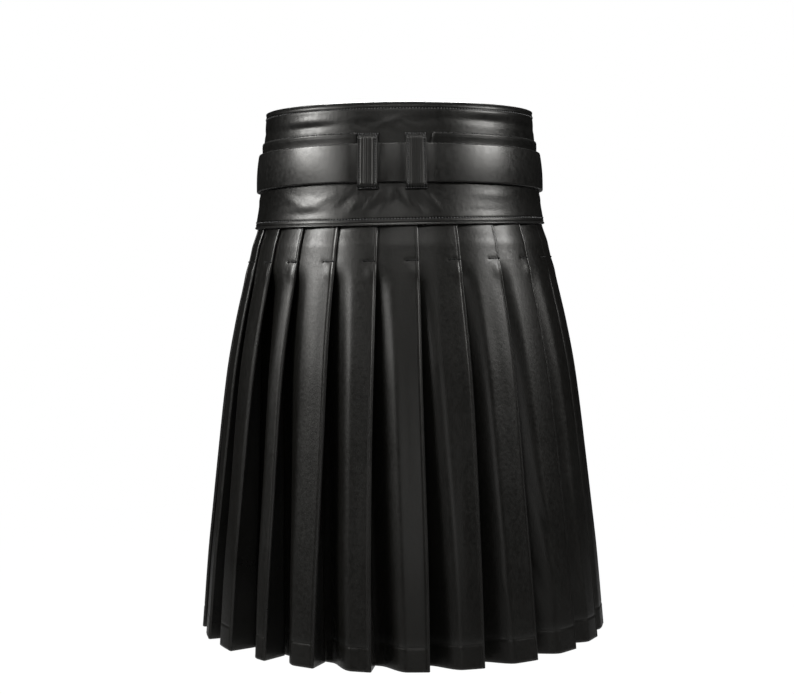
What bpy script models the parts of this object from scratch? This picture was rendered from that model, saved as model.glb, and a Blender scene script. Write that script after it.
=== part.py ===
"""Black leather kilt with knife pleats, a tall waistband and a wide belt.

Metres, +Z up. The origin is the middle of the waist opening, level with the top edge at the
back. The back of the garment faces +Y and its front faces -Y. Angles go round the body in
degrees: 0 is the centre back, +90 the wearer's right hip (-X), -90 the left hip (+X) and
180 the centre front. The kilt is a wrap, so its front panels have angles past 180.
"""

from collections import namedtuple
import math

import bpy
import bmesh
from mathutils import Matrix, Vector

# ---------------------------------------------------------------- driving dimensions (metres)
LENGTH = 0.6155             # top edge to hem at the centre back
BAND_HEIGHT = 0.137         # the waistband, top edge to bottom edge
TACK_DROP = 0.038           # how far the pleats are stitched flat below the band
TUCK = 0.008                # how far the skirt runs up inside the band

SKIRT_WALL = 0.0013         # garment leather
BAND_WALL = 0.0025          # two layers of garment leather
STRIP_WALL = 0.0017
BELT_WALL = 0.0030
LOOP_WALL = 0.0020
PLATE_WALL = 0.0030

SEAM = 0.0004               # clearance between pieces that lie face to face
LAYER_GAP = 0.0006          # clearance between the layers of a pleat
LAYER_STEP = SKIRT_WALL + LAYER_GAP
BAND_CLEARANCE = 0.0005     # between the band's inside and the skirt's top
BELT_CLEARANCE = 0.0007     # between the belt's top edge and the strip behind it
WRAP_STEP = 0.0052          # how far the inner front layer lies under the outer one

WAIST_DIP = 0.010           # the top edge is this much lower at the front
HEM_RISE = 0.018            # and the hem is this much higher there
BELT_DIP = 0.0155           # and the belt this much
BAND_TILT = 0.0020          # the band's bottom edge is higher at the right hip by this
BELT_LEAN = 0.0021          # the belt hangs steeper than the band: its lower edge lies closer in

BELT_TOP = -0.0455          # heights at the centre back
BELT_HEIGHT = 0.0435
STRIP_TOP = -0.0335
STRIP_HEIGHT = 0.020

LOOP_TOP = -0.0345
LOOP_HEIGHT = 0.0625
LOOP_WIDTH = 0.0220
LOOP_FLANGE_TOP = 0.0045
LOOP_FLANGE_BOTTOM = 0.0025
LOOP_SHOULDER = 0.0025
LOOP_ANGLES = {"loop_left": -12.5, "loop_right": 6.3}
LOOP_COLUMNS = (-1.0, -0.5, 0.0, 0.5, 1.0)

SIDE_BLEND = 0.40           # cosine of the angle where the front's depth has taken over
WRAP_STEP_FROM = 90.0       # where the inner layer starts to step in, and where it has done so
WRAP_STEP_TO = 106.0
OUTER_EDGE = -249.0         # free edge of the outer front, the same place as +111
INNER_EDGE = 222.0          # edge of the inner front, the same place as -138
ANGLE_STEP = 5.0            # the ring pieces share these columns, so their facets are parallel

STRIP_LEFT = (-160.0, -17.3)
STRIP_RIGHT = (13.5, 88.0)
STRIP_SLANT = 2.4           # degrees by which the right strip's end leans
BELT_END = 177.5
PLATE_HALF_ANGLE = 15.0
PLATE_HEIGHT = 0.058

SNAP_RADIUS = 0.006
SNAP_HEIGHT = 0.0022
SNAP_DEPTHS = (0.024, 0.118)        # below the top edge, clear of the belt
SNAP_INSETS = (5.0, 17.0)           # degrees in from the outer edge

Section = namedtuple("Section", "height half_width back_depth front_depth")
SECTIONS = (
    Section(0.0000, 0.1548, 0.1225, 0.1030),
    Section(-0.0350, 0.1577, 0.1265, 0.1055),
    Section(-0.0700, 0.1611, 0.1315, 0.1085),
    Section(-0.1050, 0.1642, 0.1375, 0.1120),
    Section(-0.1370, 0.1696, 0.1450, 0.1170),
    Section(-0.1640, 0.1747, 0.1500, 0.1210),
    Section(-0.2110, 0.1859, 0.1600, 0.1280),
    Section(-0.2465, 0.1940, 0.1670, 0.1330),
    Section(-0.2940, 0.2030, 0.1760, 0.1380),
    Section(-0.3410, 0.2095, 0.1830, 0.1420),
    Section(-0.4000, 0.2164, 0.1910, 0.1460),
    Section(-0.4590, 0.2231, 0.1990, 0.1510),
    Section(-0.5180, 0.2296, 0.2060, 0.1550),
    Section(-0.6155, 0.2378, 0.2155, 0.1615),
)

# Each fold's place round the body, how deep its underlay is, and how far it has opened at the
# hem: 1 stands the underlay square to the body. The first row is the outer apron's own edge.
Fold = namedtuple("Fold", "angle underlay opening")
FOLDS = (
    Fold(-116.0, 0.025, 0.86),
    Fold(-101.0, 0.028, 0.90),
    Fold(-86.0, 0.030, 0.94),
    Fold(-70.2, 0.031, 1.00),
    Fold(-55.0, 0.032, 1.02),
    Fold(-40.4, 0.031, 1.02),
    Fold(-24.2, 0.029, 1.00),
    Fold(-8.7, 0.027, 1.00),
    Fold(6.5, 0.026, 0.98),
    Fold(22.0, 0.025, 0.98),
    Fold(38.4, 0.025, 0.96),
    Fold(54.6, 0.024, 0.94),
    Fold(70.5, 0.024, 0.94),
    Fold(86.0, 0.025, 0.92),
    Fold(101.5, 0.025, 0.90),
)

# Shares of the way from the tack stitches to the hem where the skirt has a row of points.
SKIRT_SHARES = (0.016, 0.05, 0.12, 0.24, 0.40, 0.60, 0.80, 1.0)
OPENING_POWER = 0.62        # under 1: the pleats open soon below the tacks
FACE_POWER = 2.2            # over 1: a face rises steeply, then flattens to its fold
# Shares of a face's way to its fold. It starts below 0, which is beneath the underlay before it,
# by FACE_CLEARANCE: this and the fold's growth come in over the first part of the way down.
FACE_SHARES = (-0.10, 0.0, 0.12, 0.27, 0.44, 0.62, 0.80, 1.0)
FACE_CLEARANCE = 0.0014
CLEARANCE_RATE = 30.0
FOLD_GROWTH = 0.0006        # a fold's radius grows by this below the tacks
GROWTH_RATE = 4.0
FOLD_UNROLL = 75.0          # degrees by which a fold's half turn has opened at the hem
UNDERLAY_PARTS = (0.5, 1.0)
APRON_LEAN = 0.045          # width over which the outer apron would sink one layer pair
APRON_RAMP = 0.060          # where the inner apron comes out from under the last pleat
APRON_SHARES = (-0.08, 0.0, 0.15, 0.30, 0.50, 0.75, 1.0)
APRON_STEPS = 14
TUCK_EASE = 0.6             # share of the tacked part over which the skirt comes out to full size
BAND_SHARES = (0.0, 0.27, 0.54, 0.80, 1.0)
STRAP_SHARES = (0.0, 0.5, 1.0)
STRIP_DIP = BELT_DIP * 0.85
BAND_OVERRUN = 3.0          # degrees by which the band passes the inner front's edge
EDGE_SOFTNESS = 0.0008      # bevel of the buckle plate
EDGE_ANGLE = 50.0
SNAP_TAPER = 0.72
SNAP_SIDES = 16


# ---------------------------------------------------------------- the body's shape
def smooth_table(height, column):
    """Value of one column of SECTIONS at a height, on a smooth curve through the rows."""
    rows = SECTIONS
    if height >= rows[0].height:
        return getattr(rows[0], column)
    if height <= rows[-1].height:
        return getattr(rows[-1], column)
    index = 0
    while rows[index + 1].height > height:
        index += 1

    def slope(at):
        low = max(at - 1, 0)
        high = min(at + 1, len(rows) - 1)
        rise = getattr(rows[high], column) - getattr(rows[low], column)
        return rise / (rows[high].height - rows[low].height)

    upper, lower = rows[index], rows[index + 1]
    span = lower.height - upper.height
    share = (height - upper.height) / span
    square, cube = share ** 2, share ** 3
    return (
        (2 * cube - 3 * square + 1) * getattr(upper, column)
        + (cube - 2 * square + share) * span * slope(index)
        + (3 * square - 2 * cube) * getattr(lower, column)
        + (cube - square) * span * slope(index + 1)
    )


def smooth_step(value, low, high):
    """0 below low, 1 above high, and an easy slope between."""
    share = min(max((value - low) / (high - low), 0.0), 1.0)
    return share * share * (3.0 - 2.0 * share)


def outline_point(angle, height):
    """Point on the body's section: an ellipse that is flatter in front than behind."""
    turn = math.radians(angle)
    behind = smooth_step(math.cos(turn), -SIDE_BLEND, SIDE_BLEND)
    back = smooth_table(height, "back_depth")
    front = smooth_table(height, "front_depth")
    deep = front + (back - front) * behind
    return Vector((-smooth_table(height, "half_width") * math.sin(turn), deep * math.cos(turn), height))


def body_point(angle, height, outset=0.0):
    """Point on the body's section, moved out level along the section's normal."""
    along = outline_point(angle + 0.5, height) - outline_point(angle - 0.5, height)
    normal = Vector((along.y, -along.x, 0.0)).normalized()
    return outline_point(angle, height) + normal * outset


def surface_normal(angle, height):
    """Normal of the body's surface, with its slope from waist to hem."""
    along = outline_point(angle + 0.5, height) - outline_point(angle - 0.5, height)
    upward = outline_point(angle, height + 0.005) - outline_point(angle, height - 0.005)
    return along.cross(upward).normalized()


def arc_rate(angle, height):
    """Metres round the body for each degree."""
    return (outline_point(angle + 0.5, height) - outline_point(angle - 0.5, height)).length


def dip(angle, amount):
    """How far an edge has dropped from the centre back round to this angle."""
    return -amount * (1.0 - math.cos(math.radians(angle))) / 2.0


def tilt(angle, amount):
    return amount * math.sin(math.radians(angle))


def wrap_inset(angle):
    """The inner front layer lies this far inside the outer one."""
    return WRAP_STEP * smooth_step(angle, WRAP_STEP_FROM, WRAP_STEP_TO)


def tuck_inset(height):
    """The skirt's top lies inside the band, and comes out to full size below it."""
    share = smooth_step(height, -BAND_HEIGHT - TACK_DROP * TUCK_EASE, -BAND_HEIGHT + 0.001)
    return (BAND_WALL + BAND_CLEARANCE) * share


# ---------------------------------------------------------------- mesh and material helpers
def clear_scene():
    for old in list(bpy.data.objects):
        bpy.data.objects.remove(old, do_unlink=True)


def finish_material(name, colour, roughness, metallic=0.0):
    material = bpy.data.materials.new(name)
    material.use_nodes = True
    shader = material.node_tree.nodes["Principled BSDF"]
    shader.inputs["Base Color"].default_value = (*colour, 1.0)
    shader.inputs["Roughness"].default_value = roughness
    shader.inputs["Metallic"].default_value = metallic
    return material


def add_object(name, mesh, collection, material):
    piece = bpy.data.objects.new(name, mesh)
    collection.objects.link(piece)
    mesh.materials.append(material)
    return piece


def walled_surface(name, rows, wall, collection, material):
    """A wall centred on an open surface: rows run from top to bottom, points by rising angle."""
    count = len(rows[0])
    points = [point for row in rows for point in row]
    faces = []
    for row in range(len(rows) - 1):
        for column in range(count - 1):
            corner = row * count + column
            faces.append((corner, corner + count, corner + count + 1, corner + 1))
    mesh = bpy.data.meshes.new(name)
    mesh.from_pydata(points, [], faces)
    mesh.shade_smooth()
    piece = add_object(name, mesh, collection, material)
    solid = piece.modifiers.new("wall", "SOLIDIFY")
    solid.thickness = wall
    solid.offset = 0.0
    solid.use_even_offset = True
    solid.use_quality_normals = True
    return piece


def ring_angles(start, end):
    """Start, end, and every shared column between them."""
    first = math.ceil((start + 0.5) / ANGLE_STEP) * ANGLE_STEP
    angles = [start]
    while first < end - 0.5:
        angles.append(first)
        first += ANGLE_STEP
    return angles + [end]


# ---------------------------------------------------------------- waistband
def band_heights(angle, shares):
    top = dip(angle, WAIST_DIP)
    bottom = -BAND_HEIGHT + tilt(angle, BAND_TILT)
    return [top + (bottom - top) * share for share in shares]


def make_waistband(collection, material):
    angles = ring_angles(OUTER_EDGE, INNER_EDGE + BAND_OVERRUN)
    columns = []
    for angle in angles:
        outset = -BAND_WALL / 2 - wrap_inset(angle)
        columns.append([body_point(angle, height, outset) for height in band_heights(angle, BAND_SHARES)])
    rows = [list(row) for row in zip(*columns)]
    return walled_surface("waistband", rows, BAND_WALL, collection, material)


# ---------------------------------------------------------------- pleated skirt
def skirt_rows():
    """The skirt's rows: height before the band's tilt, and share of the way to the hem."""
    tack = -BAND_HEIGHT - TACK_DROP
    rows = [(-BAND_HEIGHT + TUCK, 0.0), (-BAND_HEIGHT - 0.001, 0.0), (tack, 0.0)]
    rows += [(tack + (-LENGTH - tack) * share, share) for share in SKIRT_SHARES]
    return rows


def skirt_point(angle, height, share, inset):
    """Point in the middle of the skirt's wall, below the folds' outline by inset."""
    level = height + tilt(angle, BAND_TILT) * (1.0 - share) - dip(angle, HEM_RISE) * share
    outset = -SKIRT_WALL / 2 - inset - tuck_inset(height) - wrap_inset(angle)
    return body_point(angle, level, outset)


def face_width(number, height):
    """Distance round the body from the fold before to this one."""
    if number == 0:
        return APRON_LEAN
    before, fold = FOLDS[number - 1], FOLDS[number]
    return (fold.angle - before.angle) * arc_rate((before.angle + fold.angle) / 2.0, height)


def underlay_end(fold, share):
    """Where a fold's underlay ends: its way round the body from the fold, and its depth."""
    turn = math.radians(90.0 * fold.opening * share ** OPENING_POWER)
    return -fold.underlay * math.cos(turn), fold.underlay * math.sin(turn)


def fold_radius(share):
    return LAYER_STEP / 2 + FOLD_GROWTH * min(share * GROWTH_RATE, 1.0)


def stacked(along, width_before, width):
    """Inset of a face that lies flat: it runs in beneath the fold before it."""
    if along < 0.0:
        return 2.0 * LAYER_STEP * (1.0 - along / width_before)
    return 2.0 * LAYER_STEP * (1.0 - min(along / width, 1.0))


def face_row(number, height, share, width, parts):
    """Way along and inset of a face's points, from beneath the fold before it."""
    before = FOLDS[number - 1]
    start, depth = underlay_end(before, share)
    depth += FACE_CLEARANCE * min(share * CLEARANCE_RATE, 1.0)
    row = []
    for part in parts:
        along = start + (width - start) * part
        inset = stacked(along, face_width(number - 1, height), width)
        row.append((along, inset + depth * (1.0 - max(part, 0.0)) ** FACE_POWER))
    return row


def face_points(number, height, share):
    """A pleat's face, as far as the start of its own fold."""
    before, fold = FOLDS[number - 1], FOLDS[number]
    width = face_width(number, height)
    rate = width / (fold.angle - before.angle)
    points = []
    for along, inset in face_row(number, height, share, width - fold_radius(share), FACE_SHARES):
        points.append(skirt_point(before.angle + along / rate, height, share, inset))
    return points


def fold_points(number, height, share):
    """The rounded fold and the underlay that returns beneath it."""
    fold = FOLDS[number]
    radius = fold_radius(share)
    end, depth = underlay_end(fold, share)
    turn = math.radians(180.0 - FOLD_UNROLL * share ** OPENING_POWER)
    rate = arc_rate(fold.angle, height)
    points = []
    for step in (1, 2, 3):
        bend = turn * step / 3.0
        along = -radius + radius * math.sin(bend)
        inset = radius - radius * math.cos(bend)
        points.append(skirt_point(fold.angle + along / rate, height, share, inset))
    lean = 2.0 * LAYER_STEP / face_width(number, height)
    for part in UNDERLAY_PARTS:
        inset = LAYER_STEP + depth * part - end * part * lean
        points.append(skirt_point(fold.angle + end * part / rate, height, share, inset))
    return points


def make_pleats(collection, material):
    for number in range(1, len(FOLDS)):
        rows = []
        for height, share in skirt_rows():
            rows.append(face_points(number, height, share) + fold_points(number, height, share))
        walled_surface(f"pleat_{number:02d}", rows, SKIRT_WALL, collection, material)


def make_front_apron(collection, material):
    """The outer front: plain from its free edge, with one fold at the left hip."""
    fold = FOLDS[0].angle
    angles = ring_angles(OUTER_EDGE + 1.0, fold - ANGLE_STEP * 0.4)
    rows = []
    for height, share in skirt_rows():
        turn = fold - fold_radius(share) / arc_rate(fold, height)
        flat = [skirt_point(angle, height, share, 0.0) for angle in angles + [turn]]
        rows.append(flat + fold_points(0, height, share))
    return walled_surface("front_apron", rows, SKIRT_WALL, collection, material)


def make_under_apron(collection, material):
    """The inner front: from beneath the last pleat to a plain edge."""
    last = FOLDS[-1].angle
    rows = []
    for height, share in skirt_rows():
        rate = arc_rate(last, height)
        row = []
        for along, inset in face_row(len(FOLDS), height, share, APRON_RAMP, APRON_SHARES):
            row.append(skirt_point(last + along / rate, height, share, inset))
        reach = last + APRON_RAMP / rate
        for step in range(1, APRON_STEPS + 1):
            angle = reach + (INNER_EDGE - reach) * step / APRON_STEPS
            row.append(skirt_point(angle, height, share, 0.0))
        rows.append(row)
    return walled_surface("under_apron", rows, SKIRT_WALL, collection, material)


# ---------------------------------------------------------------- belt, strips and loops
def belt_centre(share=0.0):
    """Outset of the belt's middle: clear of the strip, and closer to the band below it."""
    return SEAM + STRIP_WALL + BELT_CLEARANCE + BELT_WALL / 2 - BELT_LEAN * share


def over_belt(share, wall):
    """Outset of the middle of a wall that lies on the belt."""
    return belt_centre(share) + BELT_WALL / 2 + SEAM + wall / 2


def hoop_rows(angles, top, height, amount, levels, slant=0.0):
    """A strap round the body, lower in front by amount: levels are its (share, outset) rows."""
    rows = []
    for share, outset in levels:
        row = []
        for index, angle in enumerate(angles):
            place = angle - slant * share if index == 0 else angle
            row.append(body_point(place, top - height * share + dip(place, amount), outset))
        rows.append(row)
    return rows


def make_strips(collection, material):
    levels = [(share, SEAM + STRIP_WALL / 2) for share in STRAP_SHARES]
    for name, (start, end), slant in (
        ("backing_left", STRIP_LEFT, 0.0),
        ("backing_right", STRIP_RIGHT, STRIP_SLANT),
    ):
        rows = hoop_rows(
            ring_angles(start, end), STRIP_TOP, STRIP_HEIGHT, STRIP_DIP, levels, slant
        )
        walled_surface(name, rows, STRIP_WALL, collection, material)


def make_belt(collection, material):
    levels = [(share, belt_centre(share)) for share in STRAP_SHARES]
    rows = hoop_rows(ring_angles(-BELT_END, BELT_END), BELT_TOP, BELT_HEIGHT, BELT_DIP, levels)
    return walled_surface("belt", rows, BELT_WALL, collection, material)


def make_loops(collection, material):
    """Each loop: a flange on the band, over the belt, and a flange on the band again."""
    low = SEAM + LOOP_WALL / 2
    bottom = LOOP_TOP - LOOP_HEIGHT
    profile = (
        (LOOP_TOP, low),
        (LOOP_TOP - LOOP_FLANGE_TOP, low),
        (LOOP_TOP - LOOP_FLANGE_TOP - LOOP_SHOULDER, over_belt(0.0, LOOP_WALL)),
        (BELT_TOP - BELT_HEIGHT / 2, over_belt(0.5, LOOP_WALL)),
        (bottom + LOOP_FLANGE_BOTTOM + LOOP_SHOULDER, over_belt(1.0, LOOP_WALL)),
        (bottom + LOOP_FLANGE_BOTTOM, low),
        (bottom, low),
    )
    for name, centre in LOOP_ANGLES.items():
        half = LOOP_WIDTH / 2 / arc_rate(centre, BELT_TOP)
        rows = []
        for height, outset in profile:
            row = [body_point(centre + half * side, height, outset) for side in LOOP_COLUMNS]
            rows.append(row)
        walled_surface(name, rows, LOOP_WALL, collection, material)


# ---------------------------------------------------------------- buckle plate and snaps
def make_buckle(collection, material):
    """A plain plate over the place where the belt's ends meet."""
    angles = ring_angles(180.0 - PLATE_HALF_ANGLE, 180.0 + PLATE_HALF_ANGLE)
    margin = (PLATE_HEIGHT - BELT_HEIGHT) / 2
    top = BELT_TOP + margin
    levels = []
    for share in STRAP_SHARES:
        belt_share = (share * PLATE_HEIGHT - margin) / BELT_HEIGHT
        levels.append((share, over_belt(belt_share, PLATE_WALL)))
    rows = hoop_rows(angles, top, PLATE_HEIGHT, BELT_DIP, levels)
    plate = walled_surface("buckle_plate", rows, PLATE_WALL, collection, material)
    edge = plate.modifiers.new("soft edge", "BEVEL")
    edge.width = EDGE_SOFTNESS
    edge.segments = 1
    edge.limit_method = "ANGLE"
    edge.angle_limit = math.radians(EDGE_ANGLE)
    return plate


def make_snaps(collection, material):
    """Snap caps along the outer edge of the band, above and below the belt."""
    number = 0
    for inset in SNAP_INSETS:
        for depth in SNAP_DEPTHS:
            number += 1
            angle = OUTER_EDGE + inset
            height = dip(angle, WAIST_DIP) - depth
            normal = surface_normal(angle, height)
            centre = body_point(angle, height) + normal * (SEAM + SNAP_HEIGHT / 2)
            mesh = bpy.data.meshes.new(f"snap_{number}")
            shape = bmesh.new()
            bmesh.ops.create_cone(
                shape, cap_ends=True, segments=SNAP_SIDES, radius1=SNAP_RADIUS,
                radius2=SNAP_RADIUS * SNAP_TAPER, depth=SNAP_HEIGHT,
            )
            turn = Vector((0.0, 0.0, 1.0)).rotation_difference(normal).to_matrix().to_4x4()
            bmesh.ops.transform(shape, matrix=Matrix.Translation(centre) @ turn, verts=shape.verts)
            shape.to_mesh(mesh)
            shape.free()
            add_object(f"snap_{number}", mesh, collection, material)


# ---------------------------------------------------------------- the whole kilt
def main():
    clear_scene()
    kilt = bpy.data.collections.new("leather_kilt")
    bpy.context.scene.collection.children.link(kilt)
    skirt_leather = finish_material("skirt_leather", (0.010, 0.010, 0.010), 0.42)
    band_leather = finish_material("band_leather", (0.011, 0.011, 0.011), 0.38)
    belt_leather = finish_material("belt_leather", (0.013, 0.013, 0.013), 0.34)
    metal = finish_material("dark_nickel", (0.35, 0.35, 0.36), 0.28, 1.0)
    make_waistband(kilt, band_leather)
    make_pleats(kilt, skirt_leather)
    make_under_apron(kilt, skirt_leather)
    make_front_apron(kilt, skirt_leather)
    make_strips(kilt, band_leather)
    make_belt(kilt, belt_leather)
    make_loops(kilt, belt_leather)
    make_buckle(kilt, metal)
    make_snaps(kilt, metal)


main()
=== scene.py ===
"""Looks of the black leather kilt: fine leather shells, stitching, metal, light and camera.

Metres, +Z up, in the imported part's frame. The origin is the middle of the waist opening, level
with the top edge at the back. The back of the garment faces +Y and its front faces -Y. Angles
go round the body in degrees: 0 is the centre back, +90 the wearer's right hip (-X), -90 the
left hip (+X) and 180 the centre front. Every shell is a grid: its rows run from top to bottom
and its columns by rising angle.
"""

from collections import namedtuple
from itertools import product
import math

import bpy
import numpy as np
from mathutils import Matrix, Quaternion, Vector


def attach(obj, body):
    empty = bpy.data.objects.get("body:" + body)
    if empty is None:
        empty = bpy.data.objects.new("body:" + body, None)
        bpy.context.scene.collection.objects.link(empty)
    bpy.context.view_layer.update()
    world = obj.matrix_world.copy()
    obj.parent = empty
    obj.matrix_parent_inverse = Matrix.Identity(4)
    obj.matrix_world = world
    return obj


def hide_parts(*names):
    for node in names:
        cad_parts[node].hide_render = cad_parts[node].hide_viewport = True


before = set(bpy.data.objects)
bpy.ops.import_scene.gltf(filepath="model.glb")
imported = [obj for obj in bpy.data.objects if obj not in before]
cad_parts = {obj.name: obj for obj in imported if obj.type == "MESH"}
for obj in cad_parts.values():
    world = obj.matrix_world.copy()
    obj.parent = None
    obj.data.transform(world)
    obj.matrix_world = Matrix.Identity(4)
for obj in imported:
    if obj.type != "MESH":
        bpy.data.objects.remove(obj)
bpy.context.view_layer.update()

# ---------------------------------------------------------------- sizes shared with the solids
LENGTH = 0.6155             # top edge to hem at the centre back
BAND_HEIGHT = 0.137
TACK_DROP = 0.038           # how far the pleats are stitched flat below the band
TUCK = 0.008                # how far the skirt runs up inside the band

SKIRT_WALL = 0.0011
BAND_WALL = 0.0025
STRIP_WALL = 0.0017
BELT_WALL = 0.003
LOOP_WALL = 0.002
PLATE_WALL = 0.003

SEAM = 0.0004               # clearance between pieces that lie face to face
LAYER_STEP = SKIRT_WALL + SEAM
BAND_CLEARANCE = 0.0005
BELT_CLEARANCE = 0.0007
WRAP_STEP = 0.0052

WAIST_DIP = 0.01
HEM_RISE = 0.018
BELT_DIP = 0.0155
STRIP_DIP = BELT_DIP * 0.85
BAND_TILT = 0.002
BELT_LEAN = 0.0021

BELT_TOP = -0.0455
BELT_HEIGHT = 0.0435
STRIP_TOP = -0.0335
STRIP_HEIGHT = 0.02

LOOP_TOP = -0.0345
LOOP_HEIGHT = 0.0625
LOOP_WIDTH = 0.022
LOOP_FLANGE_TOP = 0.0022
LOOP_FLANGE_BOTTOM = 0.0025
LOOP_SHOULDER = 0.003
LOOP_ANGLES = {"loop_left": -12.5, "loop_right": 6.3}

SIDE_BLEND = 0.4
WRAP_ANGLES = (90.0, 106.0)  # where the wrap's inner end steps in beneath its outer one
OUTER_EDGE = -249.0
INNER_EDGE = 222.0

STRIP_LEFT = (-160.0, -17.3)
STRIP_RIGHT = (13.5, 88.0)
STRIP_SLANT = 2.4
BELT_END = 177.5
PLATE_HALF_ANGLE = 15.0
PLATE_HEIGHT = 0.058

SNAP_RADIUS = 0.006
SNAP_HEIGHT = 0.0022
SNAP_DEPTHS = (0.024, 0.118)
SNAP_INSETS = (5.0, 17.0)

# Height, half width, back depth and front depth.
SECTIONS = np.array([
    (0.0, 0.1548, 0.1225, 0.1030), (-0.0350, 0.1577, 0.1265, 0.1055),
    (-0.0700, 0.1611, 0.1315, 0.1085), (-0.1050, 0.1642, 0.1375, 0.1120),
    (-0.1370, 0.1696, 0.1450, 0.1170), (-0.1640, 0.1747, 0.1500, 0.1210),
    (-0.2110, 0.1859, 0.1600, 0.1280), (-0.2465, 0.1940, 0.1670, 0.1330),
    (-0.2940, 0.2030, 0.1760, 0.1380), (-0.3410, 0.2095, 0.1830, 0.1420),
    (-0.4000, 0.2164, 0.1910, 0.1460), (-0.4590, 0.2231, 0.1990, 0.1510),
    (-0.5180, 0.2296, 0.2060, 0.1550), (-0.6155, 0.2378, 0.2155, 0.1615),
])

# Row 0 is the outer front panel's own fold, and the others are the pleats'. Rise holds the shares
# of its width between which the face that comes out from beneath the fold rises: the next
# pleat's, or the inner front panel's beneath the last fold.
Fold = namedtuple("Fold", "angle underlay opening rise")
FOLDS = (
    Fold(-116.0, 0.025, 0.86, (0.10, 0.56)),
    Fold(-101.0, 0.028, 0.90, (0.10, 0.56)),
    Fold(-86.0, 0.030, 0.94, (0.10, 0.58)),
    Fold(-70.2, 0.031, 1.00, (0.08, 0.54)),
    Fold(-55.0, 0.032, 1.02, (0.26, 0.82)),
    Fold(-40.4, 0.031, 1.02, (0.10, 0.62)),
    Fold(-24.2, 0.029, 1.00, (0.14, 0.68)),
    Fold(-8.7, 0.027, 1.00, (0.10, 0.64)),
    Fold(6.5, 0.026, 0.98, (0.06, 0.62)),
    Fold(22.0, 0.025, 0.98, (0.12, 0.60)),
    Fold(38.4, 0.025, 0.96, (0.15, 0.62)),
    Fold(54.6, 0.024, 0.94, (0.15, 0.64)),
    Fold(70.5, 0.024, 0.94, (0.12, 0.62)),
    Fold(86.0, 0.025, 0.92, (0.08, 0.60)),
    Fold(101.5, 0.025, 0.90, (0.08, 0.60)),
)
OPENING_POWER = 0.62
OPENING_EASE = 0.075        # share of the way down over which the pleats begin to open
LIE_POWER = 2.4             # over 1: a sewn face soon lies flat beside the fold before it
VALLEY_DROP = 0.0014        # how much deeper than its fold's underlay a face starts
VALLEY_RISE = 0.88          # share of that depth which the face gains in its rise
FOLD_ROUNDING = 0.0006      # how much rounder a fold is once it is free of the tacks
LOOSENING = 0.06            # share of the way down over which a panel gets free of the tacks
APRON_LEAN = 0.045
APRON_RAMP = 0.06

# ---------------------------------------------------------------- sizes of the finer form
HEM_TURN = 0.025            # the hem is turned up inside by this much
HEM_STEP = 0.00022          # how far the doubled hem stands proud of the face above it
HEM_CREASE = 0.0002
HEM_LIGHTENING = 0.55            # how much lighter and smoother the leather is made just above the hem's crease
LIGHTENED_PLEATS = (3.0, 9.0)  # the pleats between which that lighter band grows to its full strength
FOLD_SWAY = 0.3             # degrees by which a fold wanders on its way down
FOLD_ARC = 8                # columns round a fold
FOLD_UNDERLAY = 7           # columns of its underlay
FOLD_TAIL = FOLD_ARC + FOLD_UNDERLAY
FOLD_CLOSING = 75.0         # degrees by which an opened fold turns less than a flat one's 180
FACE_COLUMNS = 52
FACE_CROWDING = 1.45        # over 1: a face's columns are closer together at its fold
APRON_CROWDING = 1.25
PLAIN_COLUMNS = 61          # columns of the inner front panel past its ramp
FACE_TUCK = 0.12            # how far a face runs on beneath the underlay before it
EDGE_STITCH = 0.0028        # the groove along a pleat's fold
EDGE_GROOVE = 0.0006
EDGE_ROLL = 0.00045
TACK_LENGTH = 0.0125        # the bar of stitches that ends a pleat's sewn part
TACK_INSET = 0.0012
TACK_DIMPLE = 0.0005
TACK_END_DIMPLE = 0.0004
TACK_FULLNESS = 0.001

BAND_RIM = 0.003            # width of the rounded rim at the band's edges
BAND_RIM_RISE = 0.0004
BAND_RIM_GROOVE = 0.00045
BAND_STITCH = 0.0075        # the stitch rows, from the band's edges
BAND_STITCH_GROOVE = 0.00028
STRIP_BEVEL = 0.002
STRIP_EDGE_DROP = 0.0009    # how much thinner a strip is at its very edge
STRIP_GROOVE = 0.00018
STRIP_PITCH = 1.25          # degrees between a strip's columns
STRIP_HOLLOW = 0.0009       # how much a strip thins towards the belt that presses on it
BELT_BEVEL = 0.0016
BELT_EDGE_DROP = 0.0006
BELT_GROOVE = 0.00012
BELT_CROWN = 0.0018         # how much the belt is rounded across its height
BELT_BELLY = 0.7            # where across its height the belt stands out most
BELT_PINCH = 0.0012         # how far the belt is pressed in beside its loops
PLATE_CORNER = 0.009
PLATE_RIM = 0.0036
PLATE_RIM_RISE = 0.0009
PLATE_EDGE_DROP = 0.0007
LOOP_RIM = 0.002            # width of the raised rim along a loop
LOOP_BEAD = 0.0048          # the raised bead inside it, from the loop's side
LOOP_RIB = 0.0024
LOOP_FLARE = 0.07           # how much wider a loop is at its flanges
LOOP_CROWN = 0.0008         # how far a loop's sides bend in towards the belt
RIM_ROUNDING = 0.38         # how far a wall's faces stop short of its rim, in thicknesses
# How much lighter rubbed colour each kind of edge gets: real rubbing, and at folds, strips and belt
# edges also a painted highlight.
EDGE_WEAR_AND_HIGHLIGHT = {"fold": 0.55, "band": 0.35, "strip": 0.9, "belt": 0.15, "loop": 0.45, "rim": 0.8}
BEAD_WEAR = 0.25

BAND_COLUMNS = 380
BELT_COLUMNS = 420
LOOP_ROWS = 96
LOOP_COLUMNS = 69
LOOP_END_SEAMS = (2.4, 92.2)  # the rows of a loop along which its end seams run
PLATE_ROWS = 61
PLATE_COLUMNS = 91
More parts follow.
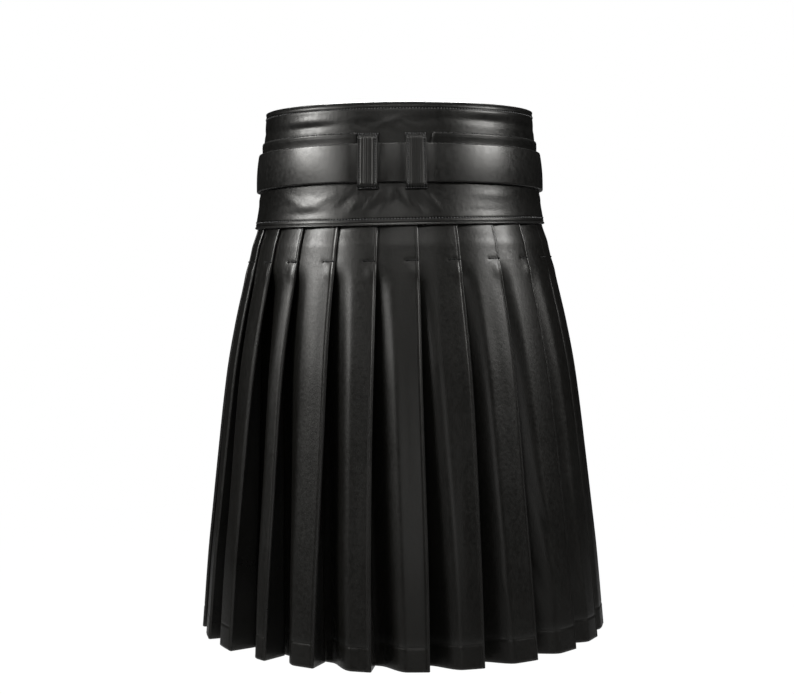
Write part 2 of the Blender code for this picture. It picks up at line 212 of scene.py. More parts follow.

# Rows of stitches: a row's hole is how wide the black balls are that paint its needle holes' shade.
Seam = namedtuple("Seam", "name pitch length width slant seed hole")
BAND_SEAM = Seam("band_stitches", 0.0035, 0.0021, 0.0013, 0.45, 7, 0.0014)
EDGE_SEAM = Seam("pleat_edge_stitches", 0.003, 0.0022, 0.0005, 0.0, 3, 0.0)
TACK_SEAM = Seam("tack_stitches", 0.0019, 0.0026, 0.0012, 0.6, 5, 0.0)
# Dark thread balls at both ends of each tack bar paint the shade of its end needle holes.
TACK_END_SHADE_SEAM = Seam("tack_end_hole_shades", TACK_LENGTH * 0.98, 0.0019, 0.0019, 0.0, 9, 0.0)
LOOP_SEAM = Seam("loop_stitches", 0.0027, 0.0017, 0.0011, 0.3, 11, 0.00105)
UNEVENNESS = 0.05
THREAD_LIFT = 0.12          # how far a stitch's middle stands off the leather, in its widths

MILLIMETRE = 0.001
# Soft ridges (depth above 0) and troughs of the skirt, by pleat. A row is: across, drop, turn,
# length, width, depth. Across is the share of the way from the fold before to the pleat's own,
# drop is from the band's lower edge to the middle, and turn is in degrees: 0 runs straight down,
# and above 0 the lower end leans to the right. Drop, length, width and depth are in millimetres.
SKIRT_CREASES = {
    1: ((0.40, 230, 2, 120, 9.5, 0.7), (0.72, 330, -2, 100, 8.1, -0.6)),
    2: ((0.35, 150, 3, 70, 8.8, -0.6), (0.66, 290, -1, 140, 10.1, 0.7)),
    3: ((0.42, 200, 2, 110, 9.5, 0.7), (0.75, 360, -2, 90, 7.4, -0.6)),
    4: ((0.50, 150, 1, 80, 8.8, 0.6), (0.36, 330, -1, 120, 9.5, -0.7),
        (0.78, 300, 1, 100, 6.8, 0.5)),
    5: ((0.45, 230, 1, 130, 9.5, -0.7), (0.74, 160, 0, 90, 8.1, 0.7),
        (0.66, 390, -1, 80, 9.5, 0.6)),
    6: ((0.30, 190, 2, 110, 9.5, -0.7), (0.62, 130, 1, 80, 10.8, 0.8),
        (0.56, 330, -1, 120, 10.1, 0.6), (0.86, 270, 0, 110, 6.1, -0.4)),
    7: ((0.24, 140, 2, 80, 8.8, -0.7), (0.50, 210, 1, 120, 10.1, 0.8),
        (0.72, 330, 0, 110, 8.1, -0.6), (0.38, 380, -1, 80, 9.5, 0.6)),
    8: ((0.26, 200, 1, 110, 9.5, -0.7), (0.54, 300, 0, 140, 11.5, 0.8),
        (0.78, 180, 1, 90, 8.1, -0.6), (0.86, 390, -1, 70, 7.4, 0.5)),
    9: ((0.30, 150, 1, 80, 9.5, 0.7), (0.56, 230, -1, 120, 10.1, -0.7),
        (0.74, 360, 1, 100, 9.5, 0.7)),
    10: ((0.34, 260, 0, 130, 10.8, 0.7), (0.62, 160, 2, 80, 8.1, -0.6),
        (0.66, 380, -2, 70, 8.8, -0.6), (0.84, 300, 0, 80, 6.8, 0.4),
        (0.48, 405, 12, 40, 4.5, 0.6)),
    11: ((0.40, 180, 1, 90, 9.5, -0.6), (0.58, 340, 9, 45, 5.5, 0.8),
        (0.46, 330, 12, 34, 4, -0.7), (0.66, 372, 15, 30, 3.8, -0.7),
        (0.50, 385, 10, 28, 3.6, 0.7), (0.34, 400, 14, 35, 4.4, -0.6)),
    12: ((0.50, 220, 0, 110, 8.8, 0.6), (0.60, 370, 6, 60, 5.2, -0.7),
        (0.46, 310, 9, 40, 4.2, 0.6), (0.40, 395, 12, 30, 4, 0.6)),
    13: ((0.44, 270, 0, 120, 8.8, -0.6),),
    14: ((0.52, 200, 1, 110, 8.8, 0.6), (0.62, 360, -1, 80, 8.1, -0.6)),
}
# The same for the plain front panels: across is the share of the panel's whole width.
OUTER_APRON_CREASES = (
    (0.10, 330, -3, 140, 10, 2.4), (0.24, 380, 2, 110, 8.5, -2.1), (0.35, 270, -2, 150, 11, 2.6),
    (0.44, 400, 3, 80, 8, -1.8), (0.55, 330, 2, 120, 9.5, -2.4), (0.66, 300, -1, 150, 10.5, 2.6),
    (0.79, 260, 2, 130, 8.5, -2.1), (0.90, 350, 0, 110, 8, 1.8), (0.45, 60, 72, 50, 4.5, -1.3),
    (0.70, 50, 104, 50, 4.5, 1.3), (0.27, 75, 98, 35, 4, 1),
)
INNER_APRON_CREASES = (
    (0.30, 300, 2, 150, 11, -1), (0.52, 350, -2, 120, 12, 1.1), (0.74, 310, 1, 140, 10, -1),
)
# Puckers of the band: across is an angle, and drop is from the top edge.
BAND_PUCKERS = (
    (-40, 25.5, 91, 40, 3.4, -0.9), (-41, 18, 91, 36, 3.8, 0.6), (-14, 22.5, 84, 16, 3, -0.4),
    (41, 10.5, 90, 34, 3.6, 0.6), (40, 20, 89, 42, 4, -0.9), (12, 20, 97, 20, 3.5, -0.4),
    (-2, 26, 60, 12, 4, 0.3), (-39, 113, 91, 18, 7, 0.8), (-48, 106, 72, 14, 4.5, 0.5),
    (-30, 106, 111, 14, 4.5, 0.5), (-40, 121.5, 91, 34, 4, -0.5), (40, 104.5, 88, 24, 5, 0.5),
    (37, 121.5, 91, 38, 3.6, -0.3), (-10.9, 109, -35, 12, 2.8, 1.4),
    (-7.5, 114, -28, 12, 3.4, -1.1), (-4.6, 105, -20, 8, 2.4, 1.3), (-1.2, 110, 5, 10, 3.6, -1.2),
    (2.6, 108, 25, 10, 2.6, 1.4), (7.1, 114, 33, 12, 3.4, -1.1), (11.7, 108, 40, 14, 2.8, 1.2),
    (-17.3, 113, -42, 12, 2.8, 0.9), (-21.5, 109, -50, 11, 3, -0.8), (-5, 22.5, 112, 14, 2.6, 0.8),
    (-16, 26.5, 70, 9, 2.2, -0.9), (3.5, 24, 68, 10, 2.4, 0.3), (76, 22, 90, 36, 3.8, -0.8),
    (-80, 24, 90, 34, 3.8, -0.8), (82, 106, 92, 30, 4.2, 0.6), (-84, 103, 88, 34, 4.2, 0.7),
    (-125, 23, 92, 36, 3.6, -0.8), (-150, 106, 90, 40, 4.2, 0.6), (-188, 22, 88, 40, 3.6, -0.7),
    (-196, 108, 91, 34, 4.2, 0.6), (-228, 98, 76, 20, 3.6, -0.4),
)


# ---------------------------------------------------------------- the body's shape
def smooth_step(value, low, high):
    """0 below low, 1 above high, and an easy slope between."""
    share = np.clip((value - low) / (high - low), 0.0, 1.0)
    return share * share * (3.0 - 2.0 * share)


def bump(value, centre, width):
    """1 at the centre, falling smoothly to 0 about two widths away."""
    return np.exp(-(((value - centre) / width) ** 2))


def unit(vectors):
    return vectors / np.linalg.norm(vectors, axis=-1, keepdims=True)


def section_at(height):
    """Half width, back depth and front depth at these heights, on curves through SECTIONS."""
    levels, values = SECTIONS[:, 0], SECTIONS[:, 1:]
    rows = np.arange(len(levels))
    after, before = np.minimum(rows + 1, rows[-1]), np.maximum(rows - 1, 0)
    slopes = (values[after] - values[before]) / (levels[after] - levels[before])[:, None]
    height = np.clip(height, levels[-1], levels[0])
    row = np.clip(np.searchsorted(-levels, -height, side="right") - 1, 0, len(levels) - 2)
    span = (levels[row + 1] - levels[row])[..., None]
    share = (height - levels[row])[..., None] / span
    square, cube = share ** 2, share ** 3
    curve = (
        (2 * cube - 3 * square + 1) * values[row]
        + (cube - 2 * square + share) * span * slopes[row]
        + (3 * square - 2 * cube) * values[row + 1]
        + (cube - square) * span * slopes[row + 1]
    )
    return np.moveaxis(curve, -1, 0)


def outline_point(angle, height):
    """Points on the body's sections: ellipses that are flatter in front than behind."""
    angle, height = np.broadcast_arrays(np.asarray(angle, float), np.asarray(height, float))
    turn = np.radians(angle)
    behind = smooth_step(np.cos(turn), -SIDE_BLEND, SIDE_BLEND)
    half_width, back, front = section_at(height)
    deep = front + (back - front) * behind
    return np.stack([-half_width * np.sin(turn), deep * np.cos(turn), height], axis=-1)


def outline_step(angle, height):
    """The way round the body over one degree."""
    return outline_point(angle + 0.5, height) - outline_point(angle - 0.5, height)


def body_point(angle, height, outset=0.0):
    """Points on the body's sections, moved out level along the sections' normals."""
    along = outline_step(angle, height)
    normal = unit(np.stack([along[..., 1], -along[..., 0], np.zeros(along.shape[:-1])], axis=-1))
    return outline_point(angle, height) + normal * np.asarray(outset)[..., None]


def arc_rate(angle, height):
    """Metres round the body for each degree."""
    return np.linalg.norm(outline_step(angle, height), axis=-1)


def dip(angle, amount):
    return -amount * (1.0 - np.cos(np.radians(angle))) / 2.0


def tilt(angle, amount):
    return amount * np.sin(np.radians(angle))


def wrap_inset(angle):
    return WRAP_STEP * smooth_step(angle, *WRAP_ANGLES)


def tuck_inset(height):
    share = smooth_step(height, -BAND_HEIGHT - TACK_DROP * 0.6, -BAND_HEIGHT + 0.001)
    return (BAND_WALL + BAND_CLEARANCE) * share


def crease_relief(creases, side, drop, place):
    """Height of soft creases over a surface: place says where each one's middle lies on side."""
    total = 0.0
    for across, down, turn, length, width, depth in creases:
        cos, sin = math.cos(math.radians(turn)), math.sin(math.radians(turn))
        aside = side - place(across)
        below = drop - down * MILLIMETRE
        lengthwise = bump(below * cos + aside * sin, 0, length * MILLIMETRE)
        crosswise = bump(aside * cos - below * sin, 0, width * MILLIMETRE)
        total = total + depth * MILLIMETRE * lengthwise * crosswise
    return total


# ---------------------------------------------------------------- shells
Face = namedtuple("Face", "points normals")


def grid_normals(points):
    """Outward normals of a grid whose rows run down and whose columns run by rising angle."""
    return unit(np.cross(np.gradient(points, axis=0), np.gradient(points, axis=1)))


def lifted(middle, relief):
    """A grid moved out along its normals."""
    return middle + grid_normals(middle) * relief[..., None]


def beside(*grids):
    """Grids joined side by side."""
    return np.concatenate(grids, axis=1)


def rim_loop(rows, columns):
    """Grid places round the border, and for each the way out of the grid, down and along."""
    low, far = rows - 1, columns - 1
    places = np.array(
        [(0, column) for column in range(far)]
        + [(row, far) for row in range(low)]
        + [(low, column) for column in range(far, 0, -1)]
        + [(row, 0) for row in range(low, 0, -1)]
    )
    return places, 1.0 * (places == (low, far)) - (places == 0)


def leather_shell(name, middle, outer, inner, material, wear_and_highlight=0.0):
    """A closed leather wall with a rounded rim, and the grid of its outer face.

    outer and inner are the distances from the middle to the two faces, and wear_and_highlight is
    how much of the lighter rubbed colour the outer face gets, for real rubbing and painted edge
    highlights: each is a number or a grid.
    """
    rows, columns = shape = middle.shape[:2]
    size = rows * columns
    outer, inner = np.broadcast_to(outer, shape), np.broadcast_to(inner, shape)
    normals = grid_normals(middle)
    front = middle + normals * outer[..., None]
    back = middle - normals * inner[..., None]
    places, ways = rim_loop(rows, columns)
    at = (places[:, 0], places[:, 1])
    down, along = (unit(np.gradient(middle, axis=axis))[at] for axis in (0, 1))
    out = unit(down * ways[:, :1] + along * ways[:, 1:])
    rounding = RIM_ROUNDING * (outer[at] + inner[at])[:, None]
    rim = (front[at] + back[at]) / 2
    front[at] -= out * rounding
    back[at] -= out * rounding

    number = np.arange(size).reshape(shape)
    quads = np.stack(
        [number[:-1, :-1], number[1:, :-1], number[1:, 1:], number[:-1, 1:]], axis=-1
    ).reshape(-1, 4)
    edge = number[at]
    middle_edge = 2 * size + np.arange(len(edge))
    after, middle_after = np.roll(edge, -1), np.roll(middle_edge, -1)
    faces = np.concatenate([
        quads,
        quads[:, ::-1] + size,
        np.stack([edge, after, middle_after, middle_edge], axis=-1),
        np.stack([middle_edge, middle_after, after + size, edge + size], axis=-1),
    ])
    points = np.concatenate([front.reshape(-1, 3), back.reshape(-1, 3), rim])
    rub_and_highlight = np.zeros(len(points))
    rub_and_highlight[:size] = np.broadcast_to(wear_and_highlight, shape).reshape(-1)
    rub_and_highlight[2 * size:] = EDGE_WEAR_AND_HIGHLIGHT["rim"]
    piece = mesh_piece(name, points, faces, material)
    attribute = piece.data.attributes.new("wear_and_highlight", "FLOAT", "POINT")
    attribute.data.foreach_set("value", rub_and_highlight)
    return piece, Face(front, grid_normals(front))


def scene_object(name, data):
    made = bpy.data.objects.new(name, data)
    bpy.context.scene.collection.objects.link(made)
    return made


def mesh_piece(name, points, faces, material):
    mesh = bpy.data.meshes.new(name)
    mesh.from_pydata(points.tolist(), [], [list(face) for face in faces])
    mesh.materials.append(material)
    mesh.shade_smooth()
    return scene_object(name, mesh)


def stand_for(piece, node):
    """The fine piece takes the place of its plain solid."""
    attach(piece, "root")
    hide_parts(node)


def sample(face, rows, columns):
    """Points and normals of a face's grid at fractional rows and columns."""
    rows, columns = np.broadcast_arrays(rows, columns)
    last_row, last_column = np.array(face.points.shape[:2]) - 2
    row = np.clip(np.floor(rows).astype(int), 0, last_row)
    column = np.clip(np.floor(columns).astype(int), 0, last_column)
    down, along = (rows - row)[..., None], (columns - column)[..., None]

    def blend(grid):
        upper = grid[row, column] * (1 - along) + grid[row, column + 1] * along
        lower = grid[row + 1, column] * (1 - along) + grid[row + 1, column + 1] * along
        return upper * (1 - down) + lower * down

    return Face(blend(face.points), unit(blend(face.normals)))


# ---------------------------------------------------------------- shader groups and materials
class NodeBuilder:
    """Adds shader or geometry nodes to one tree, each with its settings and inputs."""

    def __init__(self, tree):
        self.tree = tree

    def fill(self, node, inputs):
        """Links an input to each socket it is given, or sets it to a plain value."""
        for key, given in inputs.items():
            for value in given if isinstance(given, list) else [given]:
                if isinstance(value, bpy.types.NodeSocket):
                    self.tree.links.new(value, node.inputs[key])
                else:
                    node.inputs[key].default_value = value

    def add(self, kind, inputs=None, **settings):
        node = self.tree.nodes.new(kind)
        for key, value in settings.items():
            setattr(node, key, value)
        self.fill(node, inputs or {})
        return node.outputs

    def maths(self, operation, first, second):
        return self.add("ShaderNodeMath", {0: first, 1: second}, operation=operation)[0]

    def vectors(self, operation, inputs):
        return self.add("ShaderNodeVectorMath", inputs, operation=operation)[0]

    def noise(self, vector, scale, detail):
        inputs = {"Vector": vector, "Scale": scale, "Detail": detail}
        return self.add("ShaderNodeTexNoise", inputs)["Fac"]

    def ramp(self, share, low, high):
        ramp = self.tree.nodes.new("ShaderNodeValToRGB")
        for element, colour in zip(ramp.color_ramp.elements, (low, high)):
            element.color = (*colour, 1.0)
        self.fill(ramp, {"Fac": share})
        return ramp.outputs["Color"]

    def relief(self, height, distance):
        return self.add("ShaderNodeBump", {"Height": height, "Distance": distance})["Normal"]


def new_group(name, kind, inputs, outputs):
    """A node group with these sockets, its builder and the outputs of its input node."""
    tree = bpy.data.node_groups.new(name, kind)
    for way, sockets in (("INPUT", inputs), ("OUTPUT", outputs)):
        for socket, value_kind in sockets.items():
            tree.interface.new_socket(socket, in_out=way, socket_type="NodeSocket" + value_kind)
    build = NodeBuilder(tree)
    return build, build.add("NodeGroupInput")


def new_material(name):
    """A material, its main shader and its builder."""
    material = bpy.data.materials.new(name)
    material.use_nodes = True
    shader = material.node_tree.nodes["Principled BSDF"]
    return material, shader, NodeBuilder(material.node_tree)


WARM_SHEEN = (1.0, 0.983, 0.938, 1.0)   # specular tint of the black leather
# The lighter rubbed colour stands for real rubbing and also for painted edge highlights.
RUB_AND_HIGHLIGHT_BLACK = (0.03, 0.03, 0.029, 1.0)
COAT_ROUGHNESS = 0.24
CLOUD_SCALE = 14.0
CLOUD_TONE = 0.14
MOTTLE_TONE = 0.24
RUB_AND_HIGHLIGHT_BASE = 0.25             # how much of the rubbed and highlight colour shows even between the clouds
RUB_SHINE = 0.1             # how much smoother fully rubbed leather is


def leather_group():
    """Leather: pores, soft mottle and rubbed edges, as a colour, a roughness and a height.

    The rubbed edges' lighter colour is partly real wear and partly a painted highlight.
    """
    build, inside = new_group(
        "leather_finish",
        "ShaderNodeTree",
        {
            "Coordinates": "Vector", "Leather Colour": "Color", "Rub And Highlight Colour": "Color",
            "Base Roughness": "Float", "Pore Size": "Float", "Pore Depth": "Float",
            "Mottle Size": "Float", "Mottle Depth": "Float", "Wear And Highlight": "Float",
        },
        {"Colour": "Color", "Roughness": "Float", "Height": "Float"},
    )
    place, wear_and_highlight = inside["Coordinates"], inside["Wear And Highlight"]
    pores = build.add(
        "ShaderNodeTexVoronoi",
        {"Vector": place, "Scale": build.maths("DIVIDE", 1.0, inside["Pore Size"])},
        feature="DISTANCE_TO_EDGE",
    )["Distance"]
    domes = build.maths("SMOOTH_MIN", pores, 0.25)
    mottle = build.noise(place, build.maths("DIVIDE", 1.0, inside["Mottle Size"]), 3.0)
    clouds = build.noise(place, CLOUD_SCALE, 3.0)
    pore_height = build.maths("MULTIPLY", domes, inside["Pore Depth"])
    mottle_height = build.maths("MULTIPLY", mottle, inside["Mottle Depth"])

    cloud_tone = build.maths("MULTIPLY", build.maths("SUBTRACT", clouds, 0.5), CLOUD_TONE)
    mottle_tone = build.maths("MULTIPLY", build.maths("SUBTRACT", mottle, 0.5), MOTTLE_TONE)
    tone = build.maths("ADD", cloud_tone, mottle_tone)
    rough = build.maths("ADD", inside["Base Roughness"], tone)
    rub_and_highlight_share = build.maths("MULTIPLY", wear_and_highlight, build.maths("ADD", clouds, RUB_AND_HIGHLIGHT_BASE))
    leather, rub_and_highlight = inside["Leather Colour"], inside["Rub And Highlight Colour"]
    # Inputs 6 and 7 and output 2 of a mix node are its colours.
    mix = build.add("ShaderNodeMix", {"Factor": rub_and_highlight_share, 6: leather, 7: rub_and_highlight}, data_type="RGBA")
    build.add("NodeGroupOutput", {
        "Colour": mix[2],
        "Roughness": build.maths("SUBTRACT", rough, build.maths("MULTIPLY", wear_and_highlight, RUB_SHINE)),
        "Height": build.maths("ADD", pore_height, mottle_height),
    })
    return build.tree


# pores and mottle are each a size and a depth.
Leather = namedtuple("Leather", "name colour roughness coat pores mottle gloss", defaults=[1.5])
LEATHERS = (
    Leather(
        "skirt_black", (0.0034, 0.0032, 0.0026), 0.39, 0.2, (0.0011, 0.00003), (0.0038, 0.00015)
    ),
    Leather(
        "band_black", (0.0036, 0.0035, 0.0031), 0.375, 0.12, (0.001, 0.00003), (0.0044, 0.00018)
    ),
    Leather(
        "belt_black", (0.0041, 0.004, 0.0036), 0.36, 0.22, (0.0009, 0.00002), (0.005, 0.00008), 1.62
    ),
    Leather(
        "loop_black", (0.0033, 0.0032, 0.0029), 0.5, 0.02, (0.0009, 0.00002), (0.005, 0.00008)
    ),
)


def leather_material(group, leather):
    material, shader, build = new_material(leather.name)
    finish = build.add("ShaderNodeGroup", {
        "Coordinates": build.add("ShaderNodeTexCoord")["Object"],
        "Wear And Highlight": build.add("ShaderNodeAttribute", attribute_name="wear_and_highlight")["Fac"],
        "Leather Colour": (*leather.colour, 1.0),
        "Rub And Highlight Colour": RUB_AND_HIGHLIGHT_BLACK,
        "Base Roughness": leather.roughness,
        "Pore Size": leather.pores[0], "Pore Depth": leather.pores[1],
        "Mottle Size": leather.mottle[0], "Mottle Depth": leather.mottle[1],
    }, node_tree=group)
    build.fill(shader, {
        "Base Color": finish["Colour"],
        "Roughness": finish["Roughness"],
        "Normal": build.relief(finish["Height"], 1.0),
        "IOR": leather.gloss,
        "Specular Tint": WARM_SHEEN,
        "Coat Weight": leather.coat,
        "Coat Roughness": COAT_ROUGHNESS,
    })
    return material


def thread_material(name, dark, light, roughness):
    """Polyester thread with a fine twist: black, or lighter to paint the highlights of raised
    stitches.
    """
    material, shader, build = new_material(name)
    fibres = build.noise(build.add("ShaderNodeTexCoord")["Object"], 2500.0, 1.0)
    build.fill(shader, {
        "Base Color": build.ramp(fibres, (dark,) * 3, (light,) * 3),
        "Roughness": roughness,
        "Specular IOR Level": 0.7 - 0.6 * roughness,
    })
    return material


def hole_shade_material():
    """Painted shade: flat black for the shaded inside of a needle hole."""
    material, shader, build = new_material("needle_hole_shade")
    black = (0.0, 0.0, 0.0, 1.0)
    build.fill(shader, {"Base Color": black, "Roughness": 1.0, "Specular IOR Level": 0.0})
    return material


def dark_metal_material():
    """Dark nickel with a faint brushed grain along the belt."""
    material, shader, build = new_material("dark_nickel")
    place = build.add("ShaderNodeTexCoord")["Object"]
    stretched = build.add("ShaderNodeMapping", {"Vector": place, "Scale": (0.05, 0.05, 1.0)})
    brushing = build.noise(stretched["Vector"], 2600.0, 2.0)
    smudges = build.maths("MULTIPLY", build.noise(place, 60.0, 3.0), 0.18)
    build.fill(shader, {
        "Metallic": 1.0,
        "Base Color": build.ramp(brushing, (0.12, 0.12, 0.125), (0.2, 0.2, 0.205)),
        "Roughness": build.maths("ADD", smudges, 0.3),
        "Normal": build.relief(brushing, 0.00001),
    })
    return material


# ---------------------------------------------------------------- stitches
def stitch_tree():
    """Geometry Nodes: one rounded stitch at every pitch along each line of the input mesh.

    Where a hole size is given, a black ball halfway between paints a needle hole's shade.
    """
    build, inside = new_group(
        "sewn_stitches",
        "GeometryNodeTree",
        {
            "Geometry": "Geometry", "Stitch Pitch": "Float", "Stitch Length": "Float",
            "Thread Width": "Float", "Slant": "Float", "Unevenness": "Float", "Seed": "Int",
            "Thread": "Material", "Needle Hole": "Float", "Hole Shade": "Material",
        },
        {"Geometry": "Geometry"},
    )
    pitch, width, hole = inside["Stitch Pitch"], inside["Thread Width"], inside["Needle Hole"]
    curve = build.add("GeometryNodeMeshToCurve", {"Mesh": inside["Geometry"]})["Curve"]
    spaced = build.add(
        "GeometryNodeResampleCurve", {"Curve": curve, "Length": pitch}, mode="LENGTH"
    )["Curve"]
    ball = build.add("GeometryNodeMeshUVSphere", {"Segments": 6, "Rings": 4, "Radius": 0.5})["Mesh"]

    def xyz(x, y, z):
        return build.add("ShaderNodeCombineXYZ", {"X": x, "Y": y, "Z": z})["Vector"]

    def shaped(size, place, material):
        """The ball at this size and place, in this material."""
        inputs = {"Geometry": ball, "Scale": size, "Translation": place}
        moved = build.add("GeometryNodeTransform", inputs)["Geometry"]
        inputs = {"Geometry": moved, "Material": inside[material]}
        return build.add("GeometryNodeSetMaterial", inputs)["Geometry"]

    threaded = shaped(xyz(width, width, inside["Stitch Length"]), (0.0, 0.0, 0.0), "Thread")
    halfway = xyz(0.0, 0.0, build.maths("MULTIPLY", pitch, 0.5))
    # A black ball between stitches paints the shade inside a needle hole.
    hole_shade_ball = shaped(xyz(hole, hole, hole), halfway, "Hole Shade")
    both = build.add("GeometryNodeJoinGeometry", {"Geometry": [threaded, hole_shade_ball]})["Geometry"]
    pierces = build.maths("GREATER_THAN", hole, 0.0)
    chosen = build.add(
        "GeometryNodeSwitch", {"Switch": pierces, "False": threaded, "True": both},
        input_type="GEOMETRY",
    )["Output"]

    tangent = build.add("GeometryNodeInputTangent")["Tangent"]
    outward = build.add(
        "GeometryNodeInputNamedAttribute", {"Name": "outward"}, data_type="FLOAT_VECTOR"
    )["Attribute"]
    wander = build.add("FunctionNodeRandomValue", {
        "Min": (-1.0, -1.0, -1.0), "Max": (1.0, 1.0, 1.0), "Seed": inside["Seed"],
    }, data_type="FLOAT_VECTOR")["Value"]
    uneven = build.vectors("SCALE", {0: wander, "Scale": inside["Unevenness"]})
    sideways = build.vectors("CROSS_PRODUCT", {0: outward, 1: tangent})
    slanted = build.vectors("SCALE", {0: sideways, "Scale": inside["Slant"]})
    leaning = build.vectors("ADD", {0: tangent, 1: slanted})
    direction = build.vectors("ADD", {0: leaning, 1: uneven})
    turned = build.add(
        "FunctionNodeAxesToRotation", {"Primary Axis": direction, "Secondary Axis": outward},
        primary_axis="Z", secondary_axis="X",
    )["Rotation"]
    placed = build.add("GeometryNodeInstanceOnPoints", {
        "Points": spaced, "Instance": chosen, "Rotation": turned,
    })["Instances"]
    real = build.add("GeometryNodeRealizeInstances", {"Geometry": placed})["Geometry"]
    smooth = build.add("GeometryNodeSetShadeSmooth", {"Geometry": real})["Geometry"]
    build.add("NodeGroupOutput", {"Geometry": smooth})
    return build.tree


def sew(seam, tree, lines, thread):
    """Stitches along lines of points and normals, joined into one plain mesh."""
    points, edges, outward = [], [], []
    for line in lines:
        first = len(points)
        points += (line.points + line.normals * seam.width * THREAD_LIFT).tolist()
        outward += line.normals.reshape(-1).tolist()
        edges += [(first + index, first + index + 1) for index in range(len(line.points) - 1)]
    mesh = bpy.data.meshes.new(seam.name + "_lines")
    mesh.from_pydata(points, edges, [])
    mesh.attributes.new("outward", "FLOAT_VECTOR", "POINT").data.foreach_set("vector", outward)
    guide = scene_object(seam.name + "_lines", mesh)
    modifier = guide.modifiers.new("stitches", "NODES")
    modifier.node_group = tree
    values = {
        "Stitch Pitch": seam.pitch, "Stitch Length": seam.length, "Thread Width": seam.width,
        "Slant": seam.slant, "Unevenness": UNEVENNESS, "Seed": seam.seed, "Thread": thread,
        "Needle Hole": seam.hole, "Hole Shade": bpy.data.materials["needle_hole_shade"],
    }
    for item in tree.interface.items_tree:
        if item.in_out == "INPUT" and item.name in values:
            modifier[item.identifier] = values[item.name]
    depsgraph = bpy.context.evaluated_depsgraph_get()
    sewn = bpy.data.meshes.new_from_object(guide.evaluated_get(depsgraph))
    sewn.name = seam.name
    bpy.data.objects.remove(guide, do_unlink=True)
    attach(scene_object(seam.name, sewn), "root")


# ---------------------------------------------------------------- pleated skirt
def skirt_rows():
    """Heights of the skirt's rows, and each one's share of the way from the tacks to the hem."""
    tack = -BAND_HEIGHT - TACK_DROP
    hem_turn = -LENGTH + HEM_TURN
    spans = (
        (-BAND_HEIGHT + TUCK, 4), (-BAND_HEIGHT - 0.001, 13), (tack + 0.004, 22),
        (tack - 0.024, 66), (hem_turn + 0.006, 11), (hem_turn - 0.004, 8), (-LENGTH, 0),
    )
    height = [
        np.linspace(top, bottom, rows)[:-1]
        for (top, rows), (bottom, _) in zip(spans, spans[1:])
    ]
    height = np.concatenate([*height, [-LENGTH]])[:, None]
    return height, np.clip((tack - height) / (LENGTH + tack), 0.0, 1.0)


def fold_angle(number, share):
    """A fold's place round the body: below the tacks it wanders a little."""
    sway = FOLD_SWAY * np.sin(2.1 * number + 4.4 * share) * smooth_step(share, 0.02, 0.35)
    return FOLDS[number].angle + sway


def skirt_point(angle, height, share, inset):
    level = height + tilt(angle, BAND_TILT) * (1.0 - share) - dip(angle, HEM_RISE) * share
    outset = -SKIRT_WALL / 2 - inset - tuck_inset(height) - wrap_inset(angle)
    return body_point(angle, level, outset)


def face_width(number, height, share):
    """Distance round the body from the fold before to this one."""
    if number == 0:
        return np.full(height.shape, APRON_LEAN)
    before, fold = fold_angle(number - 1, share), fold_angle(number, share)
    return (fold - before) * arc_rate((before + fold) / 2.0, height)


def opened(share):
    """How far the pleats have opened, from 0 at the tacks to 1 at the hem."""
    return share ** OPENING_POWER * smooth_step(share, -0.004, OPENING_EASE)


def underlay_end(number, share):
    """Where a fold's underlay ends: its way round the body from the fold, and its depth."""
    fold = FOLDS[number]
    turn = np.radians(90.0 * fold.opening * opened(share))
    return -fold.underlay * np.cos(turn), fold.underlay * np.sin(turn)


def fold_radius(share):
    return LAYER_STEP / 2 + FOLD_ROUNDING * smooth_step(share, 0.0, 0.3)


def lying(part):
    """Inset of a flat face at this share of its width: it comes out from under two layers."""
    return 2.0 * LAYER_STEP * np.clip(1.0 - part, 0.0, 1.0) ** LIE_POWER


def face_columns(number, height, share, width, parts):
    """Way along and inset of a face's points, from beneath the fold before it."""
    start, depth = underlay_end(number - 1, share)
    depth = depth + VALLEY_DROP * smooth_step(share, 0.0, LOOSENING)
    along = start + (width - start) * parts
    hidden = 2.0 * LAYER_STEP + lying(1.0 + along / face_width(number - 1, height, share))
    flat = np.where(along < 0.0, hidden, lying(along / width))
    rising = 1.0 - smooth_step(parts, *FOLDS[number - 1].rise)
    sunk = VALLEY_RISE * rising + (1.0 - VALLEY_RISE) * (1.0 - np.maximum(parts, 0.0))
    return along, flat + depth * sunk


def fold_columns(number, height, share):
    """Angle and inset of the points round a fold and down its underlay."""
    radius = fold_radius(share)
    end, depth = underlay_end(number, share)
    turn = np.radians(180.0 - FOLD_CLOSING * opened(share))
    bend = turn * np.linspace(0.0, 1.0, FOLD_ARC + 1)[1:]
    parts = np.linspace(0.14, 1.0, FOLD_UNDERLAY)
    under_along = end * parts
    behind = lying(1.0 + under_along / face_width(number, height, share))
    along = beside(-radius + radius * np.sin(bend), under_along)
    inset = beside(radius - radius * np.cos(bend), LAYER_STEP + depth * parts + behind)
    fold = fold_angle(number, share)
    return fold + along / arc_rate(fold, height), inset


def with_tail(grid, value):
    """A face's grid of values, carried on round its fold and underlay at one value."""
    return beside(grid, np.broadcast_to(value, (len(grid), FOLD_TAIL)))


def edge_relief(from_fold, share):
    """The pressed edge of a fold: a rounded roll, then the groove of its edge stitching."""
    loose = 0.35 + 0.65 * smooth_step(share, 0.0, LOOSENING)
    return loose * (
        EDGE_ROLL * bump(from_fold, 0.0012, 0.001)
        - EDGE_GROOVE * bump(from_fold, EDGE_STITCH, 0.0007)
    )


